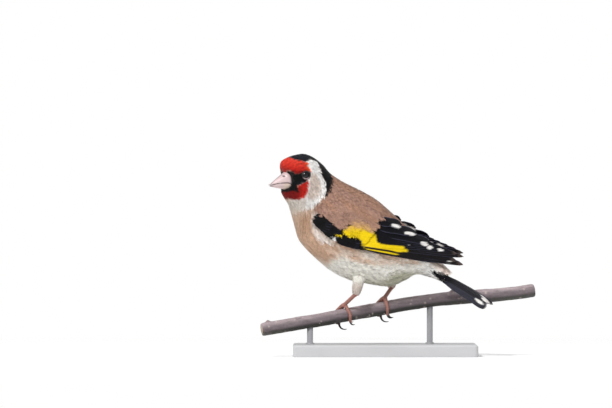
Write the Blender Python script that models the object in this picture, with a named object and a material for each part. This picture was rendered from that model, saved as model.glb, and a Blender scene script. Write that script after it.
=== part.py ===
"""A european goldfinch as a still, life-size model, gripping a short length of branch on a plain stand.

The bird faces -X and its left side is towards -Y. The origin is the middle of the base's underside.
Every size and place below is in millimetres.
"""

import math
import random

import bmesh
import bpy
import numpy as np
from mathutils import Matrix, Vector

MM = 0.001

# Gap that every pair of touching pieces keeps, and the distance at which points count as one
GAP = 0.3
WELD = 0.001

# Body: one row for each cross-section from face to tail root, as the top point (x, z), the bottom point
# (x, z), the half width, how far the sides sweep back, and the share of the head's turn that it takes
BODY_SECTIONS = (
    (-52.9, 93.2, -52.1, 82.9, 4.7, 2.6, 1.0),
    (-53.6, 95.2, -52.8, 81.3, 6.3, 2.9, 1.0),
    (-52.8, 97.7, -51.7, 79.4, 7.9, 3.1, 1.0),
    (-49.4, 99.6, -50.1, 77.2, 8.9, 2.8, 1.0),
    (-45.0, 100.8, -48.4, 74.8, 9.4, 2.0, 1.0),
    (-40.6, 101.2, -47.2, 71.7, 9.9, 1.0, 1.0),
    (-35.7, 99.4, -46.0, 67.8, 10.1, 0.0, 0.9),
    (-31.2, 96.0, -44.8, 63.3, 10.8, 0.0, 0.65),
    (-27.4, 91.6, -43.4, 58.6, 12.4, 0.0, 0.35),
    (-22.0, 87.8, -40.6, 54.6, 14.6, 0.0, 0.1),
    (-16.5, 85.0, -35.0, 49.0, 16.5, 0.0, 0.0),
    (-10.5, 82.0, -27.5, 42.8, 17.5, 0.0, 0.0),
    (-4.5, 78.5, -18.5, 38.2, 18.0, 0.0, 0.0),
    (1.5, 73.5, -8.5, 36.0, 17.3, 0.0, 0.0),
    (6.5, 68.9, 2.0, 34.7, 15.3, 0.0, 0.0),
    (13.0, 62.5, 9.5, 37.4, 12.0, 0.0, 0.0),
    (20.5, 54.5, 15.5, 40.6, 9.0, 0.0, 0.0),
    (27.5, 47.8, 22.0, 39.4, 6.8, 0.0, 0.0),
    (33.0, 42.5, 28.5, 37.0, 5.4, 0.0, 0.0),
)
BODY_SIDES = 24
RINGS_PER_SECTION = 3

# Section numbers where the body is parted into head, neck, torso and rump, and from where it meets the wings
NECK_CUT = 6.6
SHOULDER_CUT = 9.0
RUMP_CUT = 14.5
WING_MEETS_BODY = 5.0

# Head: it turns about a vertical line at HEAD_X, and places on it are (ahead of that line, to a side, z)
HEAD_X = -38.5
HEAD_TURN = math.radians(27.0)
EYE_AHEAD = 5.4
EYE_OUT = 7.2
EYE_Z = 90.35
EYE_R = 2.35
LID_R = 2.0
LID_THICK = 0.42
LID_OUT = 9.05
EYE_FORWARD_TILT = math.radians(12.0)

# Bill, in the head's own places
BILL_ROOT = 9.4
BILL_TIP = 22.0
BILL_BASE = 13.5
CULMEN_BASE_Z = 91.8
BILL_TIP_Z = 85.2
MOUTH_MID_Z = 86.5
GAPE_AHEAD = 10.4
GAPE_Z = 85.1
CHIN_Z = 83.4
BILL_HALF_WIDTH = 3.8
BILL_RINGS = 9
BILL_ARCH_POINTS = 9
NOSTRIL_AHEAD = 14.6
NOSTRIL_UP = 3.4
NOSTRIL_R = 0.42

# Wings: lower edge, ridge and half width of the folded wings' outer face, and the smooth core's upper edge,
# each as (x, value)
WING_LOW = ((-36, 66.3), (-30, 60.6), (-22, 56.6), (-12, 52.9), (0, 51.6), (10, 50.0), (20, 47.9), (30, 45.9),
            (39, 44.8))
WING_RIDGE = ((-36, 98.0), (-22, 90.0), (-12, 85.0), (0, 77.5), (10, 70.0), (20, 62.3), (30, 57.6),
              (39, 54.5))
WING_WIDTH = ((-36, 14.4), (-30, 17.0), (-22, 18.9), (-12, 19.7), (0, 18.6), (10, 15.0), (20, 10.0),
              (30, 6.2), (39, 3.8))
WING_TOP = ((-36, 68.5), (-30, 71.0), (-22, 72.0), (-12, 71.5), (0, 70.0), (10, 63.5), (16, 57.5), (39, 48.6))
WING_ROUNDNESS = 2.4
WING_FRONT = -36.0
WING_CORE_END = 16.0
WING_DEPTH = 3.0
WING_CORE_SINK = 0.15
FAR_WING_LIFT = ((-36, 1.8), (0, 1.8), (10, 3.6), (39, 3.6))

# Feathers: each lies from a root to a tip in the side view (x, z). A row gives its feathers' count, then the
# root and the tip of its lowest and of its highest feather, their width, and how far they stand out
VANE_THICK = 0.55
VANE_TILT = math.radians(7.0)
COVERT_ROWS = (
    (3, (-24.0, 57.6), (-23.0, 60.4), (-12.6, 54.3), (-12.0, 57.2), 3.4, 0.45),
    (2, (-29.0, 61.3), (-28.6, 62.8), (-18.6, 57.0), (-18.0, 58.8), 2.6, 0.80),
    (6, (-20.0, 59.6), (-15.0, 68.6), (-6.4, 57.3), (-1.6, 65.6), 4.0, 0.65),
    (4, (-26.0, 62.2), (-22.0, 69.0), (-17.2, 60.0), (-13.6, 67.4), 4.2, 1.00),
    (4, (-33.0, 65.8), (-29.4, 70.6), (-24.6, 62.6), (-21.4, 69.0), 4.2, 1.25),
)
SECONDARY_ROW = (6, (-10.0, 55.4), (-3.0, 63.0), (20.6, 54.0), (15.4, 58.6), 4.2, 0.25)
PRIMARY_ROOTS = ((-10.0, 54.0), (7.0, 57.4))
PRIMARY_TIPS = ((28.4, 46.9), (38.8, 45.6), (35.2, 47.4), (39.2, 49.6), (35.8, 51.0), (32.0, 52.4),
                (28.8, 53.7), (25.4, 55.0), (22.6, 56.0))
PRIMARY_WIDTH = 3.6
PRIMARY_OUT = 0.0
TERTIALS = (((-4.0, 62.6), (22.4, 56.9), 5.6, 0.55), ((-5.0, 65.2), (15.6, 60.8), 5.8, 0.85),
            ((-4.0, 67.4), (8.2, 64.9), 5.6, 1.15))
LONG_VANE = ((0.0, 0.55), (0.22, 0.95), (0.45, 1.0), (0.68, 1.0), (0.88, 0.74), (1.0, 0.2))
SHORT_VANE = ((0.0, 0.6), (0.35, 1.0), (0.8, 0.86), (1.0, 0.22))

# Tail: it hangs back and down, turned a little towards the near side and rolled to show its upper face. The
# core that joins its feathers is given as rows of (along, half width, half thickness)
TAIL_ROOT = (30.2, 0.0, 39.0)
TAIL_DROP = math.radians(29.5)
TAIL_SWING = math.radians(-7.0)
TAIL_ROLL = math.radians(25.0)
TAIL_LENGTH = 26.8
TAIL_FORK = 2.2
TAIL_PAIRS = 6
TAIL_FEATHER_WIDTH = 4.2
TAIL_SPREAD = (0.7, 0.32, 0.78)
TAIL_STEP = 0.24
TAIL_CORE = ((-0.4, 2.6, 0.75), (5.0, 3.4, 0.7), (12.0, 4.2, 0.3))

# Legs: knee, heel and foot of each, with the flesh of the thigh above the heel
LEGS = {
    "left": {"knee": (-12.0, -9.0, 44.0), "heel": (-14.6, -10.2, 31.2), "foot": (-20.6, -3.2, 25.4)},
    "right": {"knee": (2.0, 9.0, 42.0), "heel": (3.6, 9.6, 34.4), "foot": (-0.4, 1.6, 28.85)},
}
THIGH_TOP_R = 4.6
THIGH_HEEL_R = 1.5
SHANK_R = 0.95
TOE_ROOT_R = 0.95
TOE_TIP_R = 0.62
TOE_STEPS = 6
TOE_SIDES = 7
CLAW_TIP_R = 0.16
FOOT_R = 1.35
ANKLE_UP = 3.4

# Toes of each foot: which way round the perch (degrees from its top, towards +Y), drift along it, and the
# length of the claw
TOES = {
    "left": (("hind", -150.0, 3.2, 3.0), ("inner", 112.0, -4.6, 3.4), ("middle", 160.0, -2.4, 5.4),
             ("outer", 118.0, 2.4, 3.2)),
    "right": (("hind", -148.0, 1.6, 3.2), ("inner", 110.0, -4.4, 3.4), ("middle", 160.0, -1.7, 5.4),
              ("outer", 140.0, 2.0, 3.6)),
}
CLAW_FALL = 1.1
CLAW_BEND = 0.9

# Perch: its middle line as (x, z), its radius, and how it recedes towards +X. The knobs on its top are a bud
# and an old scar, as (x, sideways, radii)
PERCH_LINE = ((-61.5, 13.4), (-47.5, 15.7), (-32.5, 18.2), (-16.5, 21.0), (-7.5, 22.7), (4.5, 24.8),
              (16.5, 26.8), (28.5, 28.3), (42.0, 29.4), (57.5, 30.4), (67.5, 31.5), (75.0, 32.6))
PERCH_R = 3.4
PERCH_RECEDE = 0.2
PERCH_CROSSES_Y_AT = -10.0
PERCH_SIDES = 14
PERCH_STEP = 7.0
KNOBS = ((-58.0, 0.0, (1.7, 1.4, 1.0)), (34.0, -0.6, (1.5, 1.4, 0.8)))

# Stand
BASE_SIZE = (92.0, 60.0, 6.0)
BASE_EDGE = 1.2
ROD_R = 1.5
ROD_XS = {"stand_rod_front": -37.5, "stand_rod_rear": 22.5}


def smooth_row(rows, t):
    """The row at position t along a list of rows, by a smooth curve through them."""
    last = len(rows) - 1
    i = min(int(t), last - 1)
    f = t - i
    p0, p1, p2, p3 = (np.array(rows[min(max(k, 0), last)], float) for k in (i - 1, i, i + 1, i + 2))
    if i == 0:
        p0 = 2 * p1 - p2
    if i + 2 > last:
        p3 = 2 * p2 - p1
    return 0.5 * (2 * p1 + (p2 - p0) * f + (2 * p0 - 5 * p1 + 4 * p2 - p3) * f ** 2
                  + (3 * p1 - p0 - 3 * p2 + p3) * f ** 3)


def smooth_value(pairs, x):
    """The value at x on a smooth curve through (x, value) pairs."""
    xs = [p[0] for p in pairs]
    x = min(max(x, xs[0]), xs[-1])
    i = max(k for k in range(len(xs) - 1) if xs[k] <= x)
    return float(smooth_row([(p[1],) for p in pairs], i + (x - xs[i]) / (xs[i + 1] - xs[i]))[0])


def material(name, colour, roughness):
    made = bpy.data.materials.new(name)
    made.use_nodes = True
    shader = made.node_tree.nodes["Principled BSDF"]
    shader.inputs["Base Color"].default_value = (*colour, 1.0)
    shader.inputs["Roughness"].default_value = roughness
    shader.inputs["Metallic"].default_value = 0.0
    return made


def solid(name, points, faces, colour=(0.5, 0.5, 0.5), roughness=0.6):
    """One object from points in millimetres, with its faces pointing out."""
    mesh = bpy.data.meshes.new(name)
    mesh.from_pydata([Vector(p) * MM for p in points], [], faces)
    tidy = bmesh.new()
    tidy.from_mesh(mesh)
    bmesh.ops.recalc_face_normals(tidy, faces=tidy.faces)
    tidy.to_mesh(mesh)
    tidy.free()
    mesh.materials.append(material(name, colour, roughness))
    made = bpy.data.objects.new(name, mesh)
    bpy.context.scene.collection.objects.link(made)
    return made


def loft(rings):
    """Points and triangles of a closed skin over rings of equal length, with a fan at each end."""
    count = len(rings[0])
    points = [tuple(p) for ring in rings for p in ring]
    faces = []
    for r in range(len(rings) - 1):
        for k in range(count):
            a = r * count + k
            b = r * count + (k + 1) % count
            faces.append((a, b, b + count))
            faces.append((a, b + count, a + count))
    for first, ring in ((0, rings[0]), (len(rings) * count - count, rings[-1])):
        middle = len(points)
        points.append(tuple(np.mean(np.array(ring), axis=0)))
        faces += [(first + k, middle, first + (k + 1) % count) for k in range(count)]
    return points, faces


def tube_rings(path, radii, sides):
    """Rings round a path, square to it, carried along without twist."""
    path = [Vector(p) for p in path]
    side = None
    rings = []
    for i, (p, r) in enumerate(zip(path, radii)):
        ahead = (path[min(i + 1, len(path) - 1)] - path[max(i - 1, 0)]).normalized()
        if side is None:
            side = ahead.orthogonal()
        side = (side - side.dot(ahead) * ahead).normalized()
        up = ahead.cross(side)
        turns = [2 * math.pi * k / sides for k in range(sides)]
        rings.append([p + (side * math.cos(a) + up * math.sin(a)) * r for a in turns])
    return rings


def tube(name, path, radii, sides, **look):
    return solid(name, *loft(tube_rings(path, radii, sides)), **look)


def ball(name, centre, radii, **look):
    mesh = bmesh.new()
    bmesh.ops.create_icosphere(mesh, subdivisions=2, radius=1.0)
    points = [Vector(centre) + Vector(v.co[k] * radii[k] for k in range(3)) for v in mesh.verts]
    faces = [[v.index for v in f.verts] for f in mesh.faces]
    mesh.free()
    return solid(name, points, faces, **look)


def largest_surface(piece):
    """Keeps only the largest closed surface of a piece."""
    mesh = bmesh.new()
    mesh.from_mesh(piece.data)
    bmesh.ops.triangulate(mesh, faces=mesh.faces)
    bmesh.ops.remove_doubles(mesh, verts=mesh.verts, dist=WELD * MM)
    left = set(mesh.faces)
    groups = []
    while left:
        group = set()
        edge = [left.pop()]
        while edge:
            face = edge.pop()
            group.add(face)
            near = {f for e in face.edges for f in e.link_faces} & left
            left -= near
            edge += near
        groups.append(group)
    keep = max(groups, key=lambda g: sum(f.calc_area() for f in g))
    bmesh.ops.delete(mesh, geom=[f for g in groups if g is not keep for f in g], context="FACES")
    bmesh.ops.delete(mesh, geom=[v for v in mesh.verts if not v.link_faces], context="VERTS")
    mesh.to_mesh(piece.data)
    mesh.free()


def boolean(piece, others, operation):
    """Fuses the other objects with a piece or cuts them from it, and removes them."""
    group = bpy.data.collections.new("operands")
    bpy.context.scene.collection.children.link(group)
    for other in others:
        group.objects.link(other)
    step = piece.modifiers.new("operation", "BOOLEAN")
    step.operand_type = "COLLECTION"
    step.collection = group
    step.operation = operation
    step.solver = "EXACT"
    bpy.context.view_layer.update()
    shape = bpy.data.meshes.new_from_object(piece.evaluated_get(bpy.context.evaluated_depsgraph_get()))
    piece.modifiers.clear()
    look = piece.data.materials[0]
    piece.data = shape
    piece.data.materials.clear()
    piece.data.materials.append(look)
    for other in others:
        bpy.data.objects.remove(other)
    bpy.data.collections.remove(group)
    largest_surface(piece)


def turned(point, share):
    """A point of the straight body, turned about the head's upright line by a share of the head's turn."""
    spot = Vector(point) - Vector((HEAD_X, 0, 0))
    return Matrix.Rotation(HEAD_TURN * share, 3, "Z") @ spot + Vector((HEAD_X, 0, 0))


def on_head(ahead, side, z):
    """A place on the turned head. Side is negative on the bird's left."""
    return turned((HEAD_X - ahead, side, z), 1.0)


def body_ring(t, grow=0.0, shift=0.0):
    """The body's cross-section at section number t, grown outwards and shifted along its own axis."""
    top_x, top_z, low_x, low_z, width, sweep, share = smooth_row(BODY_SECTIONS, t)
    top, low = Vector((top_x, 0, top_z)), Vector((low_x, 0, low_z))
    middle, tall = (top + low) / 2, (top - low) / 2
    tall = tall.normalized() * (tall.length + grow)
    back = Vector((tall.z, 0, -tall.x)).normalized()
    ring = []
    for k in range(BODY_SIDES):
        turn = 2 * math.pi * k / BODY_SIDES
        point = middle + tall * math.cos(turn) + Vector((0, (width + grow) * math.sin(turn), 0))
        point += back * (sweep * math.sin(turn) ** 2 + shift)
        ring.append(turned(point, share))
    return ring


def body_length(name, start, end, grow=0.0, open_front=False, **look):
    """The body from one section number to another, drawn back by half a gap at each cut."""
    inner = [k / RINGS_PER_SECTION for k in range(len(BODY_SECTIONS) * RINGS_PER_SECTION)]
    inner = [t for t in inner if start + 0.2 < t < end - 0.2]
    trim = 0.0 if grow else GAP / 2
    rings = [body_ring(start, grow, 0.0 if open_front else trim)]
    rings += [body_ring(t, grow) for t in inner]
    rings += [body_ring(end, grow, -trim)]
    return solid(name, *loft(rings), **look)


def body_clearance(start, end):
    """The body grown by the gap, as a cutter for what lies on it."""
    return body_length("clearance", start, end, grow=GAP)


def bill_heights(ahead):
    """Heights of the culmen, the line of the mouth and the lower edge at a place along the bill."""
    f = (BILL_TIP - ahead) / (BILL_TIP - BILL_BASE)
    culmen = BILL_TIP_Z + (CULMEN_BASE_Z - BILL_TIP_Z) * max(f, 0.0) ** 0.94
    g = min(max(f, 0.0), 1.0)
    mouth = BILL_TIP_Z + (MOUTH_MID_Z - BILL_TIP_Z) * math.sin(g * math.pi / 2)
    if ahead < BILL_BASE:
        h = min((BILL_BASE - ahead) / (BILL_BASE - GAPE_AHEAD), 1.3)
        mouth += (GAPE_Z - MOUTH_MID_Z) * h * h
    lower = BILL_TIP_Z - 0.15 + (CHIN_Z - BILL_TIP_Z) * g ** 0.75
    return min(culmen, CULMEN_BASE_Z + 0.5), mouth, lower


def bill_half_width(ahead):
    f = max((BILL_TIP - ahead) / (BILL_TIP - BILL_BASE), 0.0)
    return max(BILL_HALF_WIDTH * f ** 0.8, 0.22)


def bill_half(name, upper, grow=0.0, **look):
    """The upper or lower half of the bill, as arches over the line of the mouth."""
    rings = []
    for k in range(BILL_RINGS):
        f = k / (BILL_RINGS - 1)
        ahead = BILL_ROOT - grow + (BILL_TIP + grow - BILL_ROOT) * (1 - (1 - f) ** 1.25)
        if not upper:
            ahead = min(ahead, BILL_TIP - 0.9 + f * 0.2)
        culmen, mouth, lower = bill_heights(ahead)
        half = bill_half_width(ahead) * (1.0 if upper else 0.94) + grow
        edge = mouth + (GAP / 2 if upper else -GAP / 2)
        reach = max(culmen - edge, 0.3) + grow if upper else -max(edge - lower, 0.3) - grow
        ring = []
        for j in range(BILL_ARCH_POINTS):
            turn = math.pi * j / (BILL_ARCH_POINTS - 1)
            ring.append(on_head(ahead, half * math.cos(turn), edge + reach * math.sin(turn) ** 0.85))
        ring.append(on_head(ahead, 0.0, edge))
        rings.append(ring)
    return solid(name, *loft(rings), **look)


def bill_clearance():
    """Both halves of the bill as one grown shape, as a cutter for the head."""
    rings = []
    for k in range(BILL_RINGS):
        ahead = BILL_ROOT - GAP + (BILL_TIP + 1.0 - BILL_ROOT) * k / (BILL_RINGS - 1)
        culmen, mouth, lower = bill_heights(ahead)
        half = bill_half_width(ahead) + GAP
        ring = []
        for j in range(2 * BILL_ARCH_POINTS):
            turn = math.pi * j / BILL_ARCH_POINTS
            reach = culmen + GAP - mouth if math.sin(turn) >= 0 else mouth - lower + GAP
            rise = math.copysign(abs(math.sin(turn)) ** 0.85, math.sin(turn))
            ring.append(on_head(ahead, half * math.cos(turn), mouth + reach * rise))
        rings.append(ring)
    return solid("bill clearance", *loft(rings))


def eye_centre(side):
    return on_head(EYE_AHEAD, side * EYE_OUT, EYE_Z)


def lid(side):
    """A ring of bare skin round an eye, facing out and a little ahead."""
    centre = on_head(EYE_AHEAD + 0.25, side * LID_OUT, EYE_Z)
    facing = side * (math.pi / 2 - EYE_FORWARD_TILT)
    out = turned((HEAD_X - math.cos(facing), math.sin(facing), 0), 1.0) - Vector((HEAD_X, 0, 0))
    across = out.orthogonal().normalized()
    up = out.cross(across)
    around, thick = 12, 6
    points, faces = [], []
    for i in range(around):
        a = 2 * math.pi * i / around
        spoke = across * math.cos(a) + up * math.sin(a)
        for j in range(thick):
            b = 2 * math.pi * j / thick
            rim = spoke * (LID_R + LID_THICK * math.cos(b))
            points.append(centre + rim + out * (1.3 * LID_THICK * math.sin(b)))
    for i in range(around):
        for j in range(thick):
            a, b = i * thick + j, i * thick + (j + 1) % thick
            c, d = (i + 1) % around * thick + (j + 1) % thick, (i + 1) % around * thick + j
            faces += [(a, b, c), (a, c, d)]
    return solid("lid", points, faces)


def make_head():
    look = {"colour": (0.55, 0.05, 0.04), "roughness": 0.8}
    head = body_length("head", 0, NECK_CUT, open_front=True, **look)
    boolean(head, [lid(-1), lid(1)], "UNION")
    sockets = [ball("socket", eye_centre(side), (EYE_R + GAP,) * 3) for side in (-1, 1)]
    boolean(head, [bill_clearance(), *sockets], "DIFFERENCE")
    for side, name in ((-1, "eye_left"), (1, "eye_right")):
        ball(name, eye_centre(side), (EYE_R,) * 3, colour=(0.01, 0.008, 0.006), roughness=0.1)


def make_bill():
    look = {"colour": (0.86, 0.75, 0.70), "roughness": 0.4}
    upper = bill_half("bill_upper", True, **look)
    bill_half("bill_lower", False, **look)
    pits = []
    for side in (-1, 1):
        reach = bill_half_width(NOSTRIL_AHEAD) * 0.74
        spot = on_head(NOSTRIL_AHEAD, side * reach, MOUTH_MID_Z + NOSTRIL_UP)
        pits.append(ball("nostril", spot, (NOSTRIL_R * 1.5, NOSTRIL_R * 1.3, NOSTRIL_R)))
    boolean(upper, pits, "DIFFERENCE")


def make_body():
    body_length("neck", NECK_CUT, SHOULDER_CUT, colour=(0.72, 0.62, 0.52), roughness=0.85)
    body_length("torso", SHOULDER_CUT, RUMP_CUT, colour=(0.42, 0.27, 0.18), roughness=0.85)
    body_length("rump", RUMP_CUT, len(BODY_SECTIONS) - 1, colour=(0.8, 0.75, 0.68), roughness=0.85)


def wing_point(side, x, z, out=0.0):
    """A point on the folded wings' outer face, at a place in the side view, moved outwards."""
    low = smooth_value(WING_LOW, x)
    tall = smooth_value(WING_RIDGE, x) - low
    q = min(max((z - low) / tall, 0.0), 0.985)
    wide = smooth_value(WING_WIDTH, x) + out
    y = wide * (1 - q ** WING_ROUNDNESS) ** (1 / WING_ROUNDNESS)
    lift = smooth_value(FAR_WING_LIFT, x) * q if side > 0 else 0.0
    return Vector((x, side * y, min(z, low + tall * 0.985) + out * q + lift))


def wing_form(name, side, **look):
    """The smooth core of a folded wing, thick enough to reach the body."""
    stations, across = 14, 5
    rings = []
    for i in range(stations):
        x = WING_FRONT + (WING_CORE_END - WING_FRONT) * i / (stations - 1)
        low, top = smooth_value(WING_LOW, x), smooth_value(WING_TOP, x)
        depth = min(WING_DEPTH, 1.0 + 0.25 * (WING_CORE_END - x))
        heights = [low + (top - low) * k / (across - 1) for k in range(across)]
        outer = [wing_point(side, x, z, -WING_CORE_SINK) for z in heights]
        inner = [wing_point(side, x, z, -depth) for z in reversed(heights)]
        rings.append(outer + inner)
    return solid(name, *loft(rings), **look)


def vane(places, width, shape):
    """One feather as a tapered strip. Places give its middle, and its across and outward ways."""
    points = []
    for (middle, across, out), (_, share) in zip(places, shape):
        half, thick = across * (width * share / 2), out * (VANE_THICK / 2)
        points += [middle - half - thick, middle + half - thick, middle + half + thick, middle - half + thick]
    faces = []
    for r in range(len(places) - 1):
        a = 4 * r
        faces += [(a, a + 1, a + 5), (a, a + 5, a + 4), (a + 3, a + 6, a + 2), (a + 3, a + 7, a + 6)]
        faces += [(a + 1, a + 2, a + 6), (a + 1, a + 6, a + 5), (a + 3, a, a + 4), (a + 3, a + 4, a + 7)]
    end = 4 * (len(places) - 1)
    faces += [(0, 3, 2), (0, 2, 1), (end, end + 1, end + 2), (end, end + 2, end + 3)]
    return solid("vane", points, faces)


def wing_vane(side, root, tip, width, stand_out, draw, shape=LONG_VANE):
    """A feather on the wing's face, with its lower edge raised over the one below."""
    start, end = Vector((*root, 0)), Vector((*tip, 0))
    end += Vector((draw.uniform(-0.3, 0.3), draw.uniform(-0.08, 0.08), 0))
    places = []
    for f, _ in shape:
        spot = start.lerp(end, f)
        rise = stand_out * min(1.0, 0.15 + 1.6 * f) + draw.uniform(-0.02, 0.02)
        middle = wing_point(side, spot.x, spot.y, rise)
        higher = wing_point(side, spot.x, spot.y + 0.4, rise)
        up = (higher - wing_point(side, spot.x, spot.y - 0.4, rise)).normalized()
        ahead = (end - start).normalized()
        out = up.cross(Vector((ahead.x, 0, ahead.y))).normalized()
        if out.y * side < 0:
            out = -out
        tilt = VANE_TILT * (0.4 + 0.6 * f)
        across = up * math.cos(tilt) - out * math.sin(tilt)
        places.append((middle, across, out * math.cos(tilt) + up * math.sin(tilt)))
    return vane(places, width, shape)


def row_of_vanes(side, row, draw, shape):
    count, low_root, high_root, low_tip, high_tip, width, stand_out = row
    made = []
    for k in range(count):
        f = k / (count - 1)
        root = tuple(a + (b - a) * f for a, b in zip(low_root, high_root))
        tip = tuple(a + (b - a) * f for a, b in zip(low_tip, high_tip))
        made.append(wing_vane(side, root, tip, width, stand_out + 0.03 * k, draw, shape))
    return made


def primaries(side, draw):
    made = []
    for k, tip in enumerate(PRIMARY_TIPS):
        f = k / (len(PRIMARY_TIPS) - 1)
        root = tuple(a + (b - a) * f for a, b in zip(*PRIMARY_ROOTS))
        made.append(wing_vane(side, root, tip, PRIMARY_WIDTH, PRIMARY_OUT + 0.06 * k, draw))
    return made


def make_wings():
    for side, name in ((-1, "wing_left"), (1, "wing_right")):
        draw = random.Random(11)
        wing = wing_form(name, side, colour=(0.03, 0.03, 0.035), roughness=0.5)
        feathers = primaries(side, draw) + row_of_vanes(side, SECONDARY_ROW, draw, LONG_VANE)
        feathers += [wing_vane(side, *tertial, draw) for tertial in TERTIALS]
        for row in COVERT_ROWS:
            feathers += row_of_vanes(side, row, draw, SHORT_VANE)
        boolean(wing, feathers, "UNION")
        boolean(wing, [body_clearance(WING_MEETS_BODY, len(BODY_SECTIONS) - 1)], "DIFFERENCE")


def tail_turn():
    turn = Matrix.Rotation(TAIL_SWING, 3, "Z") @ Matrix.Rotation(TAIL_DROP, 3, "Y")
    return turn @ Matrix.Rotation(TAIL_ROLL, 3, "X")


def tail_vane(side, pair, draw):
    """A tail feather: the middle pair lies on top, and the outer ones are a little longer."""
    turn = tail_turn()
    share = pair / (TAIL_PAIRS - 1)
    length = TAIL_LENGTH - TAIL_FORK * (1 - share) + draw.uniform(-0.3, 0.3)
    near, root_step, tip_step = TAIL_SPREAD
    up = TAIL_STEP * (TAIL_PAIRS / 2 - pair) + (0.06 if side > 0 else 0.0)
    places = []
    for f, _ in LONG_VANE:
        across = side * (near + pair * (root_step + (tip_step - root_step) * f) + 0.5 * f)
        middle = turn @ Vector((length * f, across, up - 0.5 * f * f))
        lean = side * math.radians(4.0)
        flat = turn @ Vector((0, math.cos(lean), -math.sin(lean)))
        out = turn @ Vector((0, math.sin(lean), math.cos(lean)))
        places.append((Vector(TAIL_ROOT) + middle, flat, out))
    return vane(places, TAIL_FEATHER_WIDTH, LONG_VANE)


def make_tail():
    turn = tail_turn()
    rings = []
    for along, half, thick in TAIL_CORE:
        edge = thick * 1.2
        corners = ((-half, -thick), (0, -edge), (half, -thick), (half, thick), (0, edge), (-half, thick))
        rings.append([Vector(TAIL_ROOT) + turn @ Vector((along, a, u)) for a, u in corners])
    tail = solid("tail", *loft(rings), colour=(0.03, 0.03, 0.035), roughness=0.5)
    draw = random.Random(5)
    feathers = [tail_vane(side, pair, draw) for pair in range(TAIL_PAIRS) for side in (-1, 1)]
    boolean(tail, feathers, "UNION")
    boolean(tail, [body_clearance(RUMP_CUT, len(BODY_SECTIONS) - 1)], "DIFFERENCE")


def perch_point(x):
    """The perch's middle at x."""
    return Vector((x, (x - PERCH_CROSSES_Y_AT) * PERCH_RECEDE, smooth_value(PERCH_LINE, x)))


def perch_path():
    count = int((PERCH_LINE[-1][0] - PERCH_LINE[0][0]) / PERCH_STEP) + 1
    return [perch_point(x) for x in np.linspace(PERCH_LINE[0][0], PERCH_LINE[-1][0], count)]


def perch_tube(name, grow, **look):
    path = perch_path()
    return tube(name, path, [PERCH_R + grow] * len(path), PERCH_SIDES, **look)


def make_perch():
    perch = perch_tube("perch", 0.0, colour=(0.34, 0.28, 0.28), roughness=0.7)
    buds = [ball("bud", perch_point(x) + Vector((0, y, PERCH_R - 0.2)), radii) for x, y, radii in KNOBS]
    boolean(perch, buds, "UNION")


def make_stand():
    half = [s / 2 for s in BASE_SIZE]
    rings = []
    for z, inset in ((0, 0), (BASE_SIZE[2] - BASE_EDGE, 0), (BASE_SIZE[2], BASE_EDGE)):
        rings.append([(sx * (half[0] - inset), sy * (half[1] - inset), z)
                      for sx, sy in ((-1, -1), (1, -1), (1, 1), (-1, 1))])
    solid("stand_base", *loft(rings), colour=(0.85, 0.84, 0.82), roughness=0.5)
    for name, x in ROD_XS.items():
        spot = perch_point(x)
        foot = (x, spot.y, BASE_SIZE[2] + GAP)
        rod = tube(name, [foot, tuple(spot)], [ROD_R] * 2, 12, colour=(0.8, 0.8, 0.8), roughness=0.4)
        boolean(rod, [perch_tube("clearance", GAP)], "DIFFERENCE")


def toe_path(foot_x, turn_end, drift, radius_at):
    """A toe's middle line: over the perch's top and round it by an angle, drifting along it."""
    steps = TOE_STEPS
    path, radii = [], []
    for k in range(steps + 1):
        f = k / steps
        centre = perch_point(foot_x + drift * min(0.08 + 1.5 * f, 1.0))
        radius = radius_at(f)
        turn = turn_end * f
        reach = PERCH_R + GAP + 0.05 + radius + 0.5 * (1 - f) ** 4
        path.append(centre + Vector((0, reach * math.sin(turn), reach * math.cos(turn))))
        radii.append(radius)
    return path, radii


def claw(name, toe, length):
    """A claw that goes on from the end of a toe and curls down, then towards +X."""
    path, radii = toe
    ahead = (path[-1] - path[-2]).normalized()
    start = path[-1] + ahead * GAP
    steps = 5
    spots, sizes = [], []
    spot = start
    for k in range(steps + 1):
        f = k / steps
        spots.append(spot)
        sizes.append((radii[-1] * 0.9) * (1 - f) + CLAW_TIP_R * f)
        down = Vector((0, 0, -1.0)) * (CLAW_FALL * (1 - f))
        along = Vector((1.0, 0, 0.25)) * (0.25 + CLAW_BEND * f)
        heading = (ahead * (1 - f) ** 2 + down + along).normalized()
        spot = spot + heading * length / steps
    return tube(name, spots, sizes, 6, colour=(0.03, 0.025, 0.02), roughness=0.35)


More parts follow.
